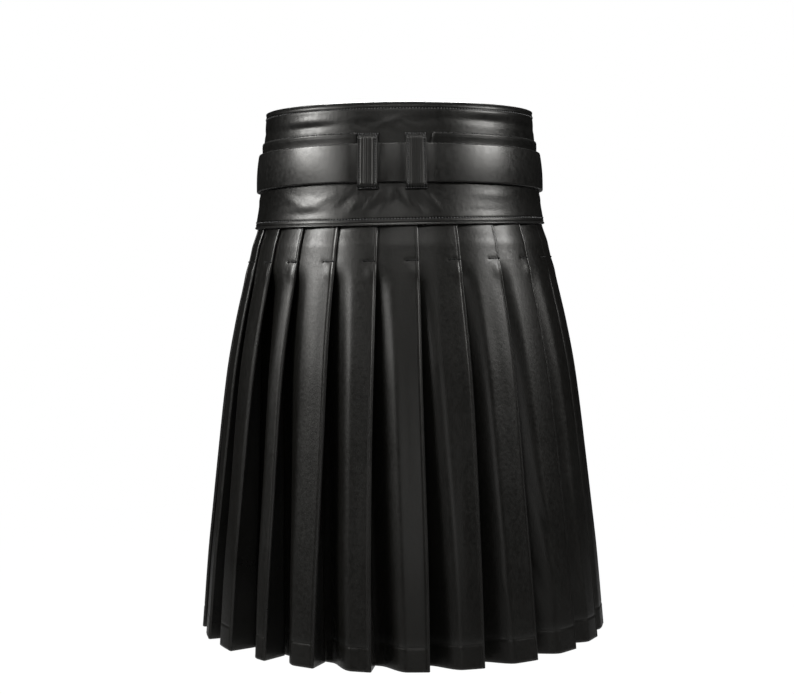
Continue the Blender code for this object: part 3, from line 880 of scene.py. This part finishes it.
def tack_relief(from_fold, drop):
    """The dimple that the tack stitches pull, and the fullness just below them."""
    below = drop - TACK_DROP
    return (
        -TACK_DIMPLE * bump(below, 0.0, 0.002) * bump(from_fold, 0.007, 0.0055)
        - TACK_END_DIMPLE * bump(below, 0.0, 0.0018)
        * bump(from_fold, TACK_LENGTH + 0.0015, 0.0016)
        + TACK_FULLNESS * bump(below, 0.013, 0.009) * bump(from_fold, 0.005, 0.006)
    )


def hem_relief(height, number):
    """The turned hem: a fine step, with the doubled leather a little prouder below it."""
    up = height + LENGTH
    ripple = 1.0 + 0.25 * np.sin(40.0 * up + number)
    step = HEM_STEP * (1.0 - smooth_step(up, HEM_TURN - 0.0012, HEM_TURN + 0.001))
    return step * ripple - HEM_CREASE * bump(up, HEM_TURN + 0.0012, 0.001)


def hem_layer(height, from_fold):
    """How much thicker the turned hem makes the wall inside, away from the folds."""
    turned = 1.0 - smooth_step(height + LENGTH, HEM_TURN - 0.001, HEM_TURN + 0.001)
    return SKIRT_WALL * turned * smooth_step(from_fold, 0.003, 0.008)


def skirt_lift(creases, side, height, width):
    """Relief of a panel's creases, which are placed in shares of this width."""
    return crease_relief(creases, side, -BAND_HEIGHT - height, lambda across: across * width)


def finish_panel(name, node, middle, surface, extra, wear_and_highlight, material):
    """Makes a skirt panel's shell and puts it in place of its solid."""
    outer, inner = SKIRT_WALL / 2 + surface, SKIRT_WALL / 2 + extra
    piece, face = leather_shell(name, middle, outer, inner, material, wear_and_highlight)
    stand_for(piece, node)
    return face


def make_pleat(number, material):
    """One knife pleat: its face, its rounded fold and the underlay behind."""
    height, share = skirt_rows()
    width = face_width(number, height, share)
    before = fold_angle(number - 1, share)
    rate = width / (fold_angle(number, share) - before)
    reach = width - fold_radius(share)
    even = np.linspace(0.0, 1.0, FACE_COLUMNS)
    parts = 1.0 - (1.0 + FACE_TUCK) * (1.0 - even) ** FACE_CROWDING
    along, inset = face_columns(number, height, share, reach, parts)
    tail_angle, tail_inset = fold_columns(number, height, share)
    angle = beside(before + along / rate, tail_angle)
    middle = skirt_point(angle, height, share, beside(inset, tail_inset))

    from_fold = with_tail(width - along, 0.0)
    face_zone = with_tail(np.ones(along.shape), 0.0)
    shown = with_tail(smooth_step(along, -0.006, 0.004), 0.0)
    shown[:, -FOLD_TAIL:1 - FOLD_UNDERLAY] = np.linspace(1.0, 0.0, FOLD_ARC + 1)
    lift = skirt_lift(SKIRT_CREASES[number], with_tail(along, width), height, width)
    middle = lifted(middle, lift * shown * smooth_step(share, 0.0, LOOSENING))
    middle = lifted(middle, tack_relief(from_fold, -BAND_HEIGHT - height) * face_zone)
    surface = (edge_relief(from_fold, share) + hem_relief(height, number) * shown) * face_zone
    # A lighter, smoother band just above the hem's crease, growing across the pleats from 3 to 9.
    lightened_band = smooth_step(number, *LIGHTENED_PLEATS) * bump(height + LENGTH, HEM_TURN + 0.0035, 0.003)
    # The fold's edge gets the lighter rubbed colour: real rubbing and a painted highlight along it.
    wear_and_highlight = np.maximum(EDGE_WEAR_AND_HIGHLIGHT["fold"] * bump(from_fold, 0.0, 0.0016), HEM_LIGHTENING * lightened_band)
    extra = hem_layer(height, from_fold) * face_zone
    name = f"pleat_leather_{number:02d}"
    face = finish_panel(name, f"pleat_{number:02d}", middle, surface, extra, wear_and_highlight, material)
    return face, height, from_fold


def make_front_apron(material):
    """The outer front panel: plain from its free edge to the one fold at the left hip."""
    height, share = skirt_rows()
    start = OUTER_EDGE + 1.0
    fold = fold_angle(0, share)
    rate = arc_rate(fold, height)
    turn = fold - fold_radius(share) / rate
    parts = 1.0 - (1.0 - np.linspace(0.0, 1.0, 2 * FACE_COLUMNS)) ** APRON_CROWDING
    flat_angle = start + (turn - start) * parts
    tail_angle, tail_inset = fold_columns(0, height, share)
    inset = beside(np.zeros(flat_angle.shape), tail_inset)
    middle = skirt_point(beside(flat_angle, tail_angle), height, share, inset)

    face_zone = with_tail(np.ones(flat_angle.shape), 0.0)
    from_fold = with_tail((fold - flat_angle) * rate, 0.0)
    total = (fold - start) * rate
    side = total - from_fold
    lift = skirt_lift(OUTER_APRON_CREASES, side, height, total)
    middle = lifted(middle, lift * smooth_step(share, 0.0, 0.1) * face_zone)
    from_edge = side - side[:, :1]
    surface = (
        edge_relief(from_fold, share)
        + hem_relief(height, 0)
        - EDGE_GROOVE * bump(from_edge, 0.006, 0.001)
        + EDGE_ROLL * bump(from_edge, 0.002, 0.003)
    ) * face_zone
    # The fold's edge gets the lighter rubbed colour: real rubbing and a painted highlight along it.
    wear_and_highlight = EDGE_WEAR_AND_HIGHLIGHT["fold"] * bump(from_fold, 0.0, 0.0016)
    extra = hem_layer(height, from_fold) * face_zone
    finish_panel("front_apron_leather", "front_apron", middle, surface, extra, wear_and_highlight, material)


def make_under_apron(material):
    """The inner front panel, from beneath the last pleat to a plain edge."""
    height, share = skirt_rows()
    last = fold_angle(len(FOLDS) - 1, share)
    rate = arc_rate(last, height)
    ramp = np.linspace(0.0, 1.0, FACE_COLUMNS // 2)
    along, inset = face_columns(len(FOLDS), height, share, APRON_RAMP, ramp)
    reach = last + APRON_RAMP / rate
    plain = reach + (INNER_EDGE - reach) * np.linspace(0.0, 1.0, PLAIN_COLUMNS)[1:]
    angle = beside(last + along / rate, plain)
    middle = skirt_point(angle, height, share, beside(inset, np.zeros(plain.shape)))

    total = (INNER_EDGE - last) * rate
    side = (angle - last) * rate
    lift = skirt_lift(INNER_APRON_CREASES, side, height, total)
    free = smooth_step(share, 0.0, 0.15) * smooth_step(side, 0.01, 0.06)
    middle = lifted(middle, lift * free)
    extra = hem_layer(height, side) * smooth_step(side, 0.004, 0.012)
    surface = hem_relief(height, 3)
    finish_panel("under_apron_leather", "under_apron", middle, surface, extra, 0.0, material)


def pleat_stitch_lines(face, height, from_fold):
    """Edge stitching above the tack, and the tack bar, on one pleat's face."""
    tack = BAND_HEIGHT + TACK_DROP
    rows, drops = np.arange(len(height)), -height[:, 0]

    def column_at(row, distance):
        """The column of this row that lies this far from the fold."""
        line = -from_fold[int(round(row)), :-FOLD_TAIL]
        return np.interp(-distance, line, np.arange(len(line)))

    edge_rows = np.interp(np.linspace(BAND_HEIGHT + 0.0025, tack - 0.001, 14), drops, rows)
    edge_columns = np.array([column_at(row, EDGE_STITCH) for row in edge_rows])
    bar_row = np.interp(tack, drops, rows)
    reaches = np.linspace(TACK_INSET, TACK_INSET + TACK_LENGTH, 6)
    bar_columns = np.array([column_at(bar_row, reach) for reach in reaches])
    return sample(face, edge_rows, edge_columns), sample(face, bar_row, bar_columns)


def make_skirt(material, tree, thread):
    edges, bars, tack_end_shades = [], [], []
    for number in range(1, len(FOLDS)):
        edge, bar = pleat_stitch_lines(*make_pleat(number, material))
        edges.append(edge)
        bars.append(bar)
        # Painted shade of the needle holes at both ends of the bar.
        tack_end_shades.append(Face(bar.points[[0, -1]], bar.normals[[0, -1]]))
    make_front_apron(material)
    make_under_apron(material)
    sew(EDGE_SEAM, tree, edges, thread)
    sew(TACK_SEAM, tree, bars, thread)
    sew(TACK_END_SHADE_SEAM, tree, tack_end_shades, thread)


# ---------------------------------------------------------------- waistband
# How far the first rows of the band, and of the strips and belt, lie from their edge.
BAND_EDGE_ROWS = np.array([
    0.0, 0.7, 1.4, 2.1, 2.7, 3.2, 3.7, 4.3, 5.1, 5.9, 6.6, 7.3, 8.0, 8.8, 9.7, 10.8,
]) * MILLIMETRE
STRAP_EDGE_ROWS = np.array([0.0, 0.25, 0.5, 0.75, 1.0, 1.3])    # in widths of the bevel


def rows_across(edge, width, count):
    """Distances of a band's rows from its top edge: these at both edges, and evenly between."""
    inner = np.linspace(edge[-1], width - edge[-1], count)[1:-1]
    return np.concatenate([edge, inner, (width - edge)[::-1]])[:, None]


def finish_strap(name, node, middle, wall, relief, wear_and_highlight, material):
    """Makes the shell of a strap that runs round the body and puts it in place of its solid."""
    outer, inner = wall / 2 + relief, wall / 2
    piece, face = leather_shell(name, middle, outer, inner, material, wear_and_highlight)
    stand_for(piece, node)
    return face


def make_waistband(material, tree, thread):
    drop = rows_across(BAND_EDGE_ROWS, BAND_HEIGHT, 54)
    angle = np.linspace(OUTER_EDGE, INNER_EDGE + 3.0, BAND_COLUMNS)[None, :]
    top = dip(angle, WAIST_DIP)
    bottom = -BAND_HEIGHT + tilt(angle, BAND_TILT)
    height = top + (bottom - top) * (drop / BAND_HEIGHT)
    middle = body_point(angle, height, -BAND_WALL / 2 - wrap_inset(angle))
    rate = arc_rate(angle, height)
    lift = crease_relief(BAND_PUCKERS, 0.0, drop, lambda across: (across - angle) * rate)
    relief = wear_and_highlight = 0.0
    for distance in (drop, BAND_HEIGHT - drop):
        rim = 1.0 - smooth_step(distance, BAND_RIM - 0.0008, BAND_RIM)
        relief = relief + BAND_RIM_RISE * rim
        relief = relief - BAND_RIM_GROOVE * bump(distance, BAND_RIM + 0.0002, 0.0006)
        relief = relief - BAND_STITCH_GROOVE * bump(distance, BAND_STITCH, 0.0012)
        wear_and_highlight = wear_and_highlight + EDGE_WEAR_AND_HIGHLIGHT["band"] * bump(distance, 0.0, 0.002)
    face = finish_strap(
        "waistband_leather", "waistband", lifted(middle, lift),
        BAND_WALL, relief, wear_and_highlight, material,
    )
    columns = np.linspace(2, BAND_COLUMNS - 3, 2 * BAND_COLUMNS)
    rows = np.interp((BAND_STITCH, BAND_HEIGHT - BAND_STITCH), drop[:, 0], np.arange(len(drop)))
    sew(BAND_SEAM, tree, [sample(face, row, columns) for row in rows], thread)


# ---------------------------------------------------------------- strips, belt and loops
def belt_centre(share):
    return SEAM + STRIP_WALL + BELT_CLEARANCE + BELT_WALL / 2 - BELT_LEAN * share


def over_belt(share, wall):
    return belt_centre(share) + BELT_WALL / 2 + SEAM + wall / 2


def strap_shares(width):
    """Shares of a strap's width for its rows, and their distances from its nearer edge."""
    bevel = BELT_BEVEL / width
    share = rows_across(STRAP_EDGE_ROWS * bevel, 1.0, 14)
    return share, np.minimum(share, 1.0 - share) * width


def bevel_drop(from_edge, bevel, amount):
    """How much thinner a strap's outer face is at its bevelled edges."""
    return amount * (1.0 - np.sqrt(np.clip(from_edge / bevel, 0.0, 1.0)))


def make_strips(material):
    share, from_edge = strap_shares(STRIP_HEIGHT)
    relief = (
        -bevel_drop(from_edge, STRIP_BEVEL, STRIP_EDGE_DROP)
        - STRIP_GROOVE * bump(from_edge, 0.003, 0.0006)
        - STRIP_HOLLOW * smooth_step(share, 0.08, 0.62)
    )
    # The strip's top edge gets the lighter rubbed colour: real rubbing and a painted highlight
    # line.
    wear_and_highlight = EDGE_WEAR_AND_HIGHLIGHT["strip"] * bump(from_edge, 0.0008, 0.0012)
    for name, node, (start, end), slant in (
        ("backing_strip_left", "backing_left", STRIP_LEFT, 0.0),
        ("backing_strip_right", "backing_right", STRIP_RIGHT, STRIP_SLANT),
    ):
        columns = max(int((end - start) / STRIP_PITCH), 8)
        part = np.linspace(0.0, 1.0, columns)[None, :]
        angle = start - slant * share * (1.0 - part) + (end - start) * part
        height = STRIP_TOP - STRIP_HEIGHT * share + dip(angle, STRIP_DIP)
        middle = body_point(angle, height, SEAM + STRIP_WALL / 2)
        finish_strap(
            name, node, middle, STRIP_WALL, relief, wear_and_highlight, material
        )


def make_belt(material):
    share, from_edge = strap_shares(BELT_HEIGHT)
    angle = np.linspace(-BELT_END, BELT_END, BELT_COLUMNS)[None, :]
    height = BELT_TOP - BELT_HEIGHT * share + dip(angle, BELT_DIP)
    middle = body_point(angle, height, belt_centre(share))
    relief = (
        BELT_CROWN * (0.6 - 2.1 * (share - BELT_BELLY) ** 2)
        - bevel_drop(from_edge, BELT_BEVEL, BELT_EDGE_DROP)
        - BELT_GROOVE * bump(from_edge, 0.0034, 0.0006)
    )
    for centre in LOOP_ANGLES.values():
        aside = np.abs(angle - centre) * arc_rate(centre, BELT_TOP) - LOOP_WIDTH / 2
        relief = relief - BELT_PINCH * bump(aside, 0.0, 0.006)
    # The belt's edges get a little of the lighter rubbed colour: real rubbing and a faint painted
    # highlight.
    wear_and_highlight = EDGE_WEAR_AND_HIGHLIGHT["belt"] * bump(from_edge, 0.0006, 0.0008)
    finish_strap(
        "belt_leather", "belt", middle, BELT_WALL, relief, wear_and_highlight,
        material,
    )


def loop_profile():
    """A loop's way over the belt: its heights and outsets, with the corners eased."""
    low = SEAM + LOOP_WALL / 2
    bottom = LOOP_TOP - LOOP_HEIGHT
    heights, outsets = np.array([
        (LOOP_TOP, low),
        (LOOP_TOP - LOOP_FLANGE_TOP, low),
        (LOOP_TOP - LOOP_FLANGE_TOP - LOOP_SHOULDER, over_belt(0.0, LOOP_WALL)),
        (BELT_TOP - BELT_HEIGHT / 2, over_belt(0.5, LOOP_WALL)),
        (bottom + LOOP_FLANGE_BOTTOM + LOOP_SHOULDER, over_belt(1.0, LOOP_WALL)),
        (bottom + LOOP_FLANGE_BOTTOM, low),
        (bottom, low),
    ]).T
    fine = np.linspace(LOOP_TOP, bottom, LOOP_ROWS)
    along = np.interp(-fine, -heights, outsets)
    reach = 4
    weights = np.exp(-((np.arange(-reach, reach + 1) / 1.8) ** 2))
    padded = np.pad(along, reach, mode="edge")
    eased = np.convolve(padded, weights / weights.sum(), mode="valid")
    return fine[:, None], eased[:, None]


def loop_relief(from_side, from_end):
    """A loop's raised rims, the stitched beads inside them and the fine ribs between."""
    rim = 0.0004 * (1.0 - smooth_step(from_side, LOOP_RIM - 0.0006, LOOP_RIM))
    groove = 0.00045 * bump(from_side, LOOP_RIM + 0.0005, 0.0006)
    bead = 0.00045 * bump(from_side, LOOP_BEAD, 0.0009)
    inner = 0.00025 * bump(from_side, LOOP_BEAD + 0.0018, 0.0007)
    field = smooth_step(from_side, LOOP_BEAD + 0.0015, LOOP_BEAD + 0.0025)
    ribs = 0.0001 * field * np.cos(2.0 * math.pi * from_side / LOOP_RIB)
    ends = 0.00035 * bump(from_end, 0.0024, 0.0008)
    return rim - groove + bead - inner + ribs - ends


def make_loops(material, tree, thread):
    heights, outsets = loop_profile()
    drop = LOOP_TOP - heights
    across = np.linspace(-1.0, 1.0, LOOP_COLUMNS)[None, :]
    from_end = np.minimum(drop, LOOP_HEIGHT - drop)
    from_side = (1.0 - np.abs(across)) * LOOP_WIDTH / 2
    flange = 1.0 + LOOP_FLARE * (1.0 - smooth_step(from_end, 0.002, 0.006))
    crown = LOOP_CROWN * (across ** 2) * smooth_step(from_end, 0.004, 0.012)
    outer = LOOP_WALL / 2 + loop_relief(from_side, from_end)
    wear_and_highlight = EDGE_WEAR_AND_HIGHLIGHT["loop"] * bump(from_side, 0.0008, 0.001)
    wear_and_highlight = wear_and_highlight + BEAD_WEAR * bump(from_side, LOOP_BEAD, 0.0008)

    rows = np.linspace(2, LOOP_ROWS - 3, 60)
    way = 1.0 - (LOOP_RIM + 0.0006) / (LOOP_WIDTH / 2)
    sides = np.interp((-way, way), across[0], np.arange(LOOP_COLUMNS))
    over = np.linspace(3, LOOP_COLUMNS - 4, 24)
    lines = []
    for node, centre in LOOP_ANGLES.items():
        half = LOOP_WIDTH / 2 / float(arc_rate(centre, BELT_TOP))
        middle = body_point(centre + half * across * flange, heights, outsets - crown)
        piece, face = leather_shell(f"belt_{node}", middle, outer, LOOP_WALL / 2, material, wear_and_highlight)
        stand_for(piece, node)
        lines += [sample(face, rows, column) for column in sides]
        lines += [sample(face, row, over) for row in LOOP_END_SEAMS]
    sew(LOOP_SEAM, tree, lines, thread)


# ---------------------------------------------------------------- buckle plate and snaps
def make_buckle(metal):
    """A plain plate with round corners and a raised rim, curved to the front of the belt."""
    rate = float(arc_rate(180.0, BELT_TOP - BELT_HEIGHT / 2))
    half_width, half_height = PLATE_HALF_ANGLE * rate, PLATE_HEIGHT / 2
    up = np.sin(np.linspace(1.0, -1.0, PLATE_ROWS) * math.pi / 2)[:, None] * half_height
    past = np.clip(np.abs(up) - (half_height - PLATE_CORNER), 0.0, PLATE_CORNER)
    reach = half_width - PLATE_CORNER + np.sqrt(PLATE_CORNER ** 2 - past ** 2)
    across = np.sin(np.linspace(-1.0, 1.0, PLATE_COLUMNS) * math.pi / 2)[None, :] * reach
    aside = np.abs(across) - (half_width - PLATE_CORNER)
    above = np.abs(up) - (half_height - PLATE_CORNER)
    outside = np.hypot(np.maximum(aside, 0.0), np.maximum(above, 0.0))
    from_rim = PLATE_CORNER - outside - np.minimum(np.maximum(aside, above), 0.0)
    angle = 180.0 + across / rate
    height = BELT_TOP - BELT_HEIGHT / 2 + up + dip(angle, BELT_DIP)
    middle = body_point(angle, height, over_belt(0.5 - up / BELT_HEIGHT, PLATE_WALL))
    rim = PLATE_RIM_RISE * (1.0 - smooth_step(from_rim, PLATE_RIM - 0.0008, PLATE_RIM))
    edge = PLATE_EDGE_DROP * (1.0 - smooth_step(from_rim, 0.0, 0.0012))
    outer = PLATE_WALL / 2 + rim - edge
    piece, _ = leather_shell("belt_plate", middle, outer, PLATE_WALL / 2, metal)
    stand_for(piece, "buckle_plate")


# A snap's cap in rings: each one's share of the radius, and of the height.
CAP_RINGS = (
    (0.2, 1.0), (0.4, 0.96), (0.58, 0.86), (0.66, 0.74), (0.72, 0.7), (0.8, 0.78),
    (0.9, 0.74), (0.97, 0.52), (1.0, 0.18),
)


def domed_cap(count=32):
    """Points and faces of a solid cap: its rings from the middle out, then its foot."""
    turns = np.linspace(0.0, 2.0 * math.pi, count + 1)[:-1]
    outline = np.stack([np.cos(turns), np.sin(turns)], axis=-1) * SNAP_RADIUS
    points = [(0.0, 0.0, SNAP_HEIGHT * CAP_RINGS[0][1])]
    for share, top in (*CAP_RINGS, (1.0, 0.0)):
        points += [(x, y, SNAP_HEIGHT * top) for x, y in outline * share]
    points.append((0.0, 0.0, 0.0))
    faces = []
    for index in range(count):
        after = (index + 1) % count
        faces.append((0, 1 + index, 1 + after))
        for low in range(1, 1 + len(CAP_RINGS) * count, count):
            high = low + count
            faces.append((low + index, high + index, high + after, low + after))
        faces.append((len(points) - 1, high + after, high + index))
    return points, faces


def make_snaps(metal):
    """Domed caps with a rolled rim, over the plain snaps."""
    points, faces = domed_cap()
    for number, (inset, depth) in enumerate(product(SNAP_INSETS, SNAP_DEPTHS), 1):
        angle = OUTER_EDGE + inset
        height = float(dip(angle, WAIST_DIP)) - depth
        upward = outline_point(angle, height + 0.005) - outline_point(angle, height - 0.005)
        normal = Vector(np.cross(outline_step(angle, height), upward)).normalized()
        foot = Vector(body_point(angle, height)) + normal * SEAM
        turn = Vector((0.0, 0.0, 1.0)).rotation_difference(normal)
        placed = np.array([turn @ Vector(point) + foot for point in points])
        piece = mesh_piece(f"snap_cap_{number}", placed, faces, metal)
        stand_for(piece, f"snap_{number}")


# ---------------------------------------------------------------- stage, light and camera
FLOOR_RADIUS = 4.0
FLOOR_LEVEL = -1.05
FLOOR_GLOW = 1.03
FLOOR_SHOWN = 0.97          # share of that glow in what the camera sees of the floor
ROOM_GLOW = 0.004
PALE_GREY = (0.3, 0.3, 0.3, 1.0)
WHITE = (1.0, 1.0, 1.0, 1.0)

# Azimuth, from the back axis towards the wearer's left, and elevation, then distance, width,
# height and watts.
SOFTBOXES = {
    "left": (73.0, 28.0, 2.4, 0.6, 0.5, 27.0),
    "left_inner": (61.0, 27.0, 2.4, 0.6, 0.5, 9.0),
    "left_low": (50.0, 16.0, 2.4, 0.6, 0.5, 3.2),
    "right": (-72.0, 28.0, 2.4, 0.6, 0.5, 17.0),
    "right_inner": (-60.0, 28.0, 2.4, 0.6, 0.5, 9.5),
    "back": (2.0, 34.0, 2.4, 1.4, 0.6, 4.6),
    "top": (5.0, 72.0, 2.4, 1.2, 0.5, 22.0),
    "back_low": (0.0, 2.0, 2.4, 0.9, 0.6, 1.8),
    "front": (180.0, 33.0, 2.6, 0.7, 0.8, 42.0),
    "front_left": (138.0, 62.0, 2.6, 0.8, 0.8, 30.0),
    "front_right": (-138.0, 62.0, 2.6, 0.8, 0.8, 24.0),
}
LIGHT_AIM = Vector((0.0, 0.0, -0.25))

CAMERA_PLACE = Vector((0.0047, 2.08, -0.158))
CAMERA_PITCH = 3.31         # degrees down
CAMERA_ROLL = -0.45
CAMERA_LENS = 80.0
CAMERA_SENSOR = 36.0


def make_floor():
    mesh = bpy.data.meshes.new("floor")
    count = 96
    turns = [2.0 * math.pi * index / count for index in range(count)]
    rim = [(FLOOR_RADIUS * math.cos(a), FLOOR_RADIUS * math.sin(a), FLOOR_LEVEL) for a in turns]
    mesh.from_pydata(rim, [], [range(count)])
    material, shader, build = new_material("pale_floor")
    build.fill(shader, {"Base Color": PALE_GREY, "Roughness": 0.9})
    seen = build.maths("MULTIPLY", build.add("ShaderNodeLightPath")["Is Camera Ray"], FLOOR_SHOWN)
    glow = build.add("ShaderNodeEmission", {"Strength": FLOOR_GLOW})["Emission"]
    mix = build.add("ShaderNodeMixShader", {"Fac": seen, 1: shader.outputs["BSDF"], 2: glow})
    build.fill(material.node_tree.nodes["Material Output"], {"Surface": mix["Shader"]})
    mesh.materials.append(material)
    scene_object("floor", mesh)


def make_world():
    """White behind the kilt, and a dim room for its leather to mirror."""
    world = bpy.data.worlds.new("studio")
    bpy.context.scene.world = world
    world.use_nodes = True
    world.node_tree.nodes.clear()
    build = NodeBuilder(world.node_tree)
    room, white = (
        build.add("ShaderNodeBackground", {"Color": WHITE, "Strength": strength})["Background"]
        for strength in (ROOM_GLOW, 1.0)
    )
    seen = build.add("ShaderNodeLightPath")["Is Camera Ray"]
    mix = build.add("ShaderNodeMixShader", {"Fac": seen, 1: room, 2: white})
    build.add("ShaderNodeOutputWorld", {"Surface": mix["Shader"]})


def aim(made, way):
    """Turns a light or camera to look this way."""
    made.rotation_mode = "QUATERNION"
    made.rotation_quaternion = way.to_track_quat("-Z", "Y")


def make_lights():
    for name, (azimuth, elevation, distance, width, height, watts) in SOFTBOXES.items():
        data = bpy.data.lights.new(f"{name}_softbox", "AREA")
        data.shape = "RECTANGLE"
        data.size, data.size_y, data.energy = width, height, watts
        light = scene_object(data.name, data)
        turn, rise = math.radians(azimuth), math.radians(elevation)
        level = math.cos(rise)
        way = Vector((math.sin(turn) * level, math.cos(turn) * level, math.sin(rise)))
        light.location = LIGHT_AIM + way * distance
        aim(light, -way)


def make_camera():
    data = bpy.data.cameras.new("camera")
    data.lens = CAMERA_LENS
    data.sensor_width = CAMERA_SENSOR
    camera = scene_object("camera", data)
    camera.location = CAMERA_PLACE
    pitch = math.radians(CAMERA_PITCH)
    aim(camera, Vector((0.0, -math.cos(pitch), -math.sin(pitch))))
    roll = Quaternion((0.0, 0.0, 1.0), math.radians(CAMERA_ROLL))
    camera.rotation_quaternion = camera.rotation_quaternion @ roll
    bpy.context.scene.camera = camera
    bpy.context.scene.view_settings.view_transform = "Standard"


# ---------------------------------------------------------------- the whole scene
def main():
    make_camera()
    make_world()
    make_lights()
    make_floor()
    group = leather_group()
    skirt, band, belt, loops = (leather_material(group, leather) for leather in LEATHERS)
    thread = thread_material("black_thread", 0.002, 0.008, 0.7)
    # This thread's lighter grey paints highlights on the stitches: the real thread is dark.
    highlight_thread = thread_material("thread_with_painted_highlight", 0.08, 0.14, 0.38)
    metal = dark_metal_material()
    hole_shade_material()
    tree = stitch_tree()
    make_waistband(band, tree, highlight_thread)
    make_skirt(skirt, tree, thread)
    make_strips(band)
    make_belt(belt)
    make_loops(loops, tree, highlight_thread)
    make_buckle(metal)
    make_snaps(metal)


main()
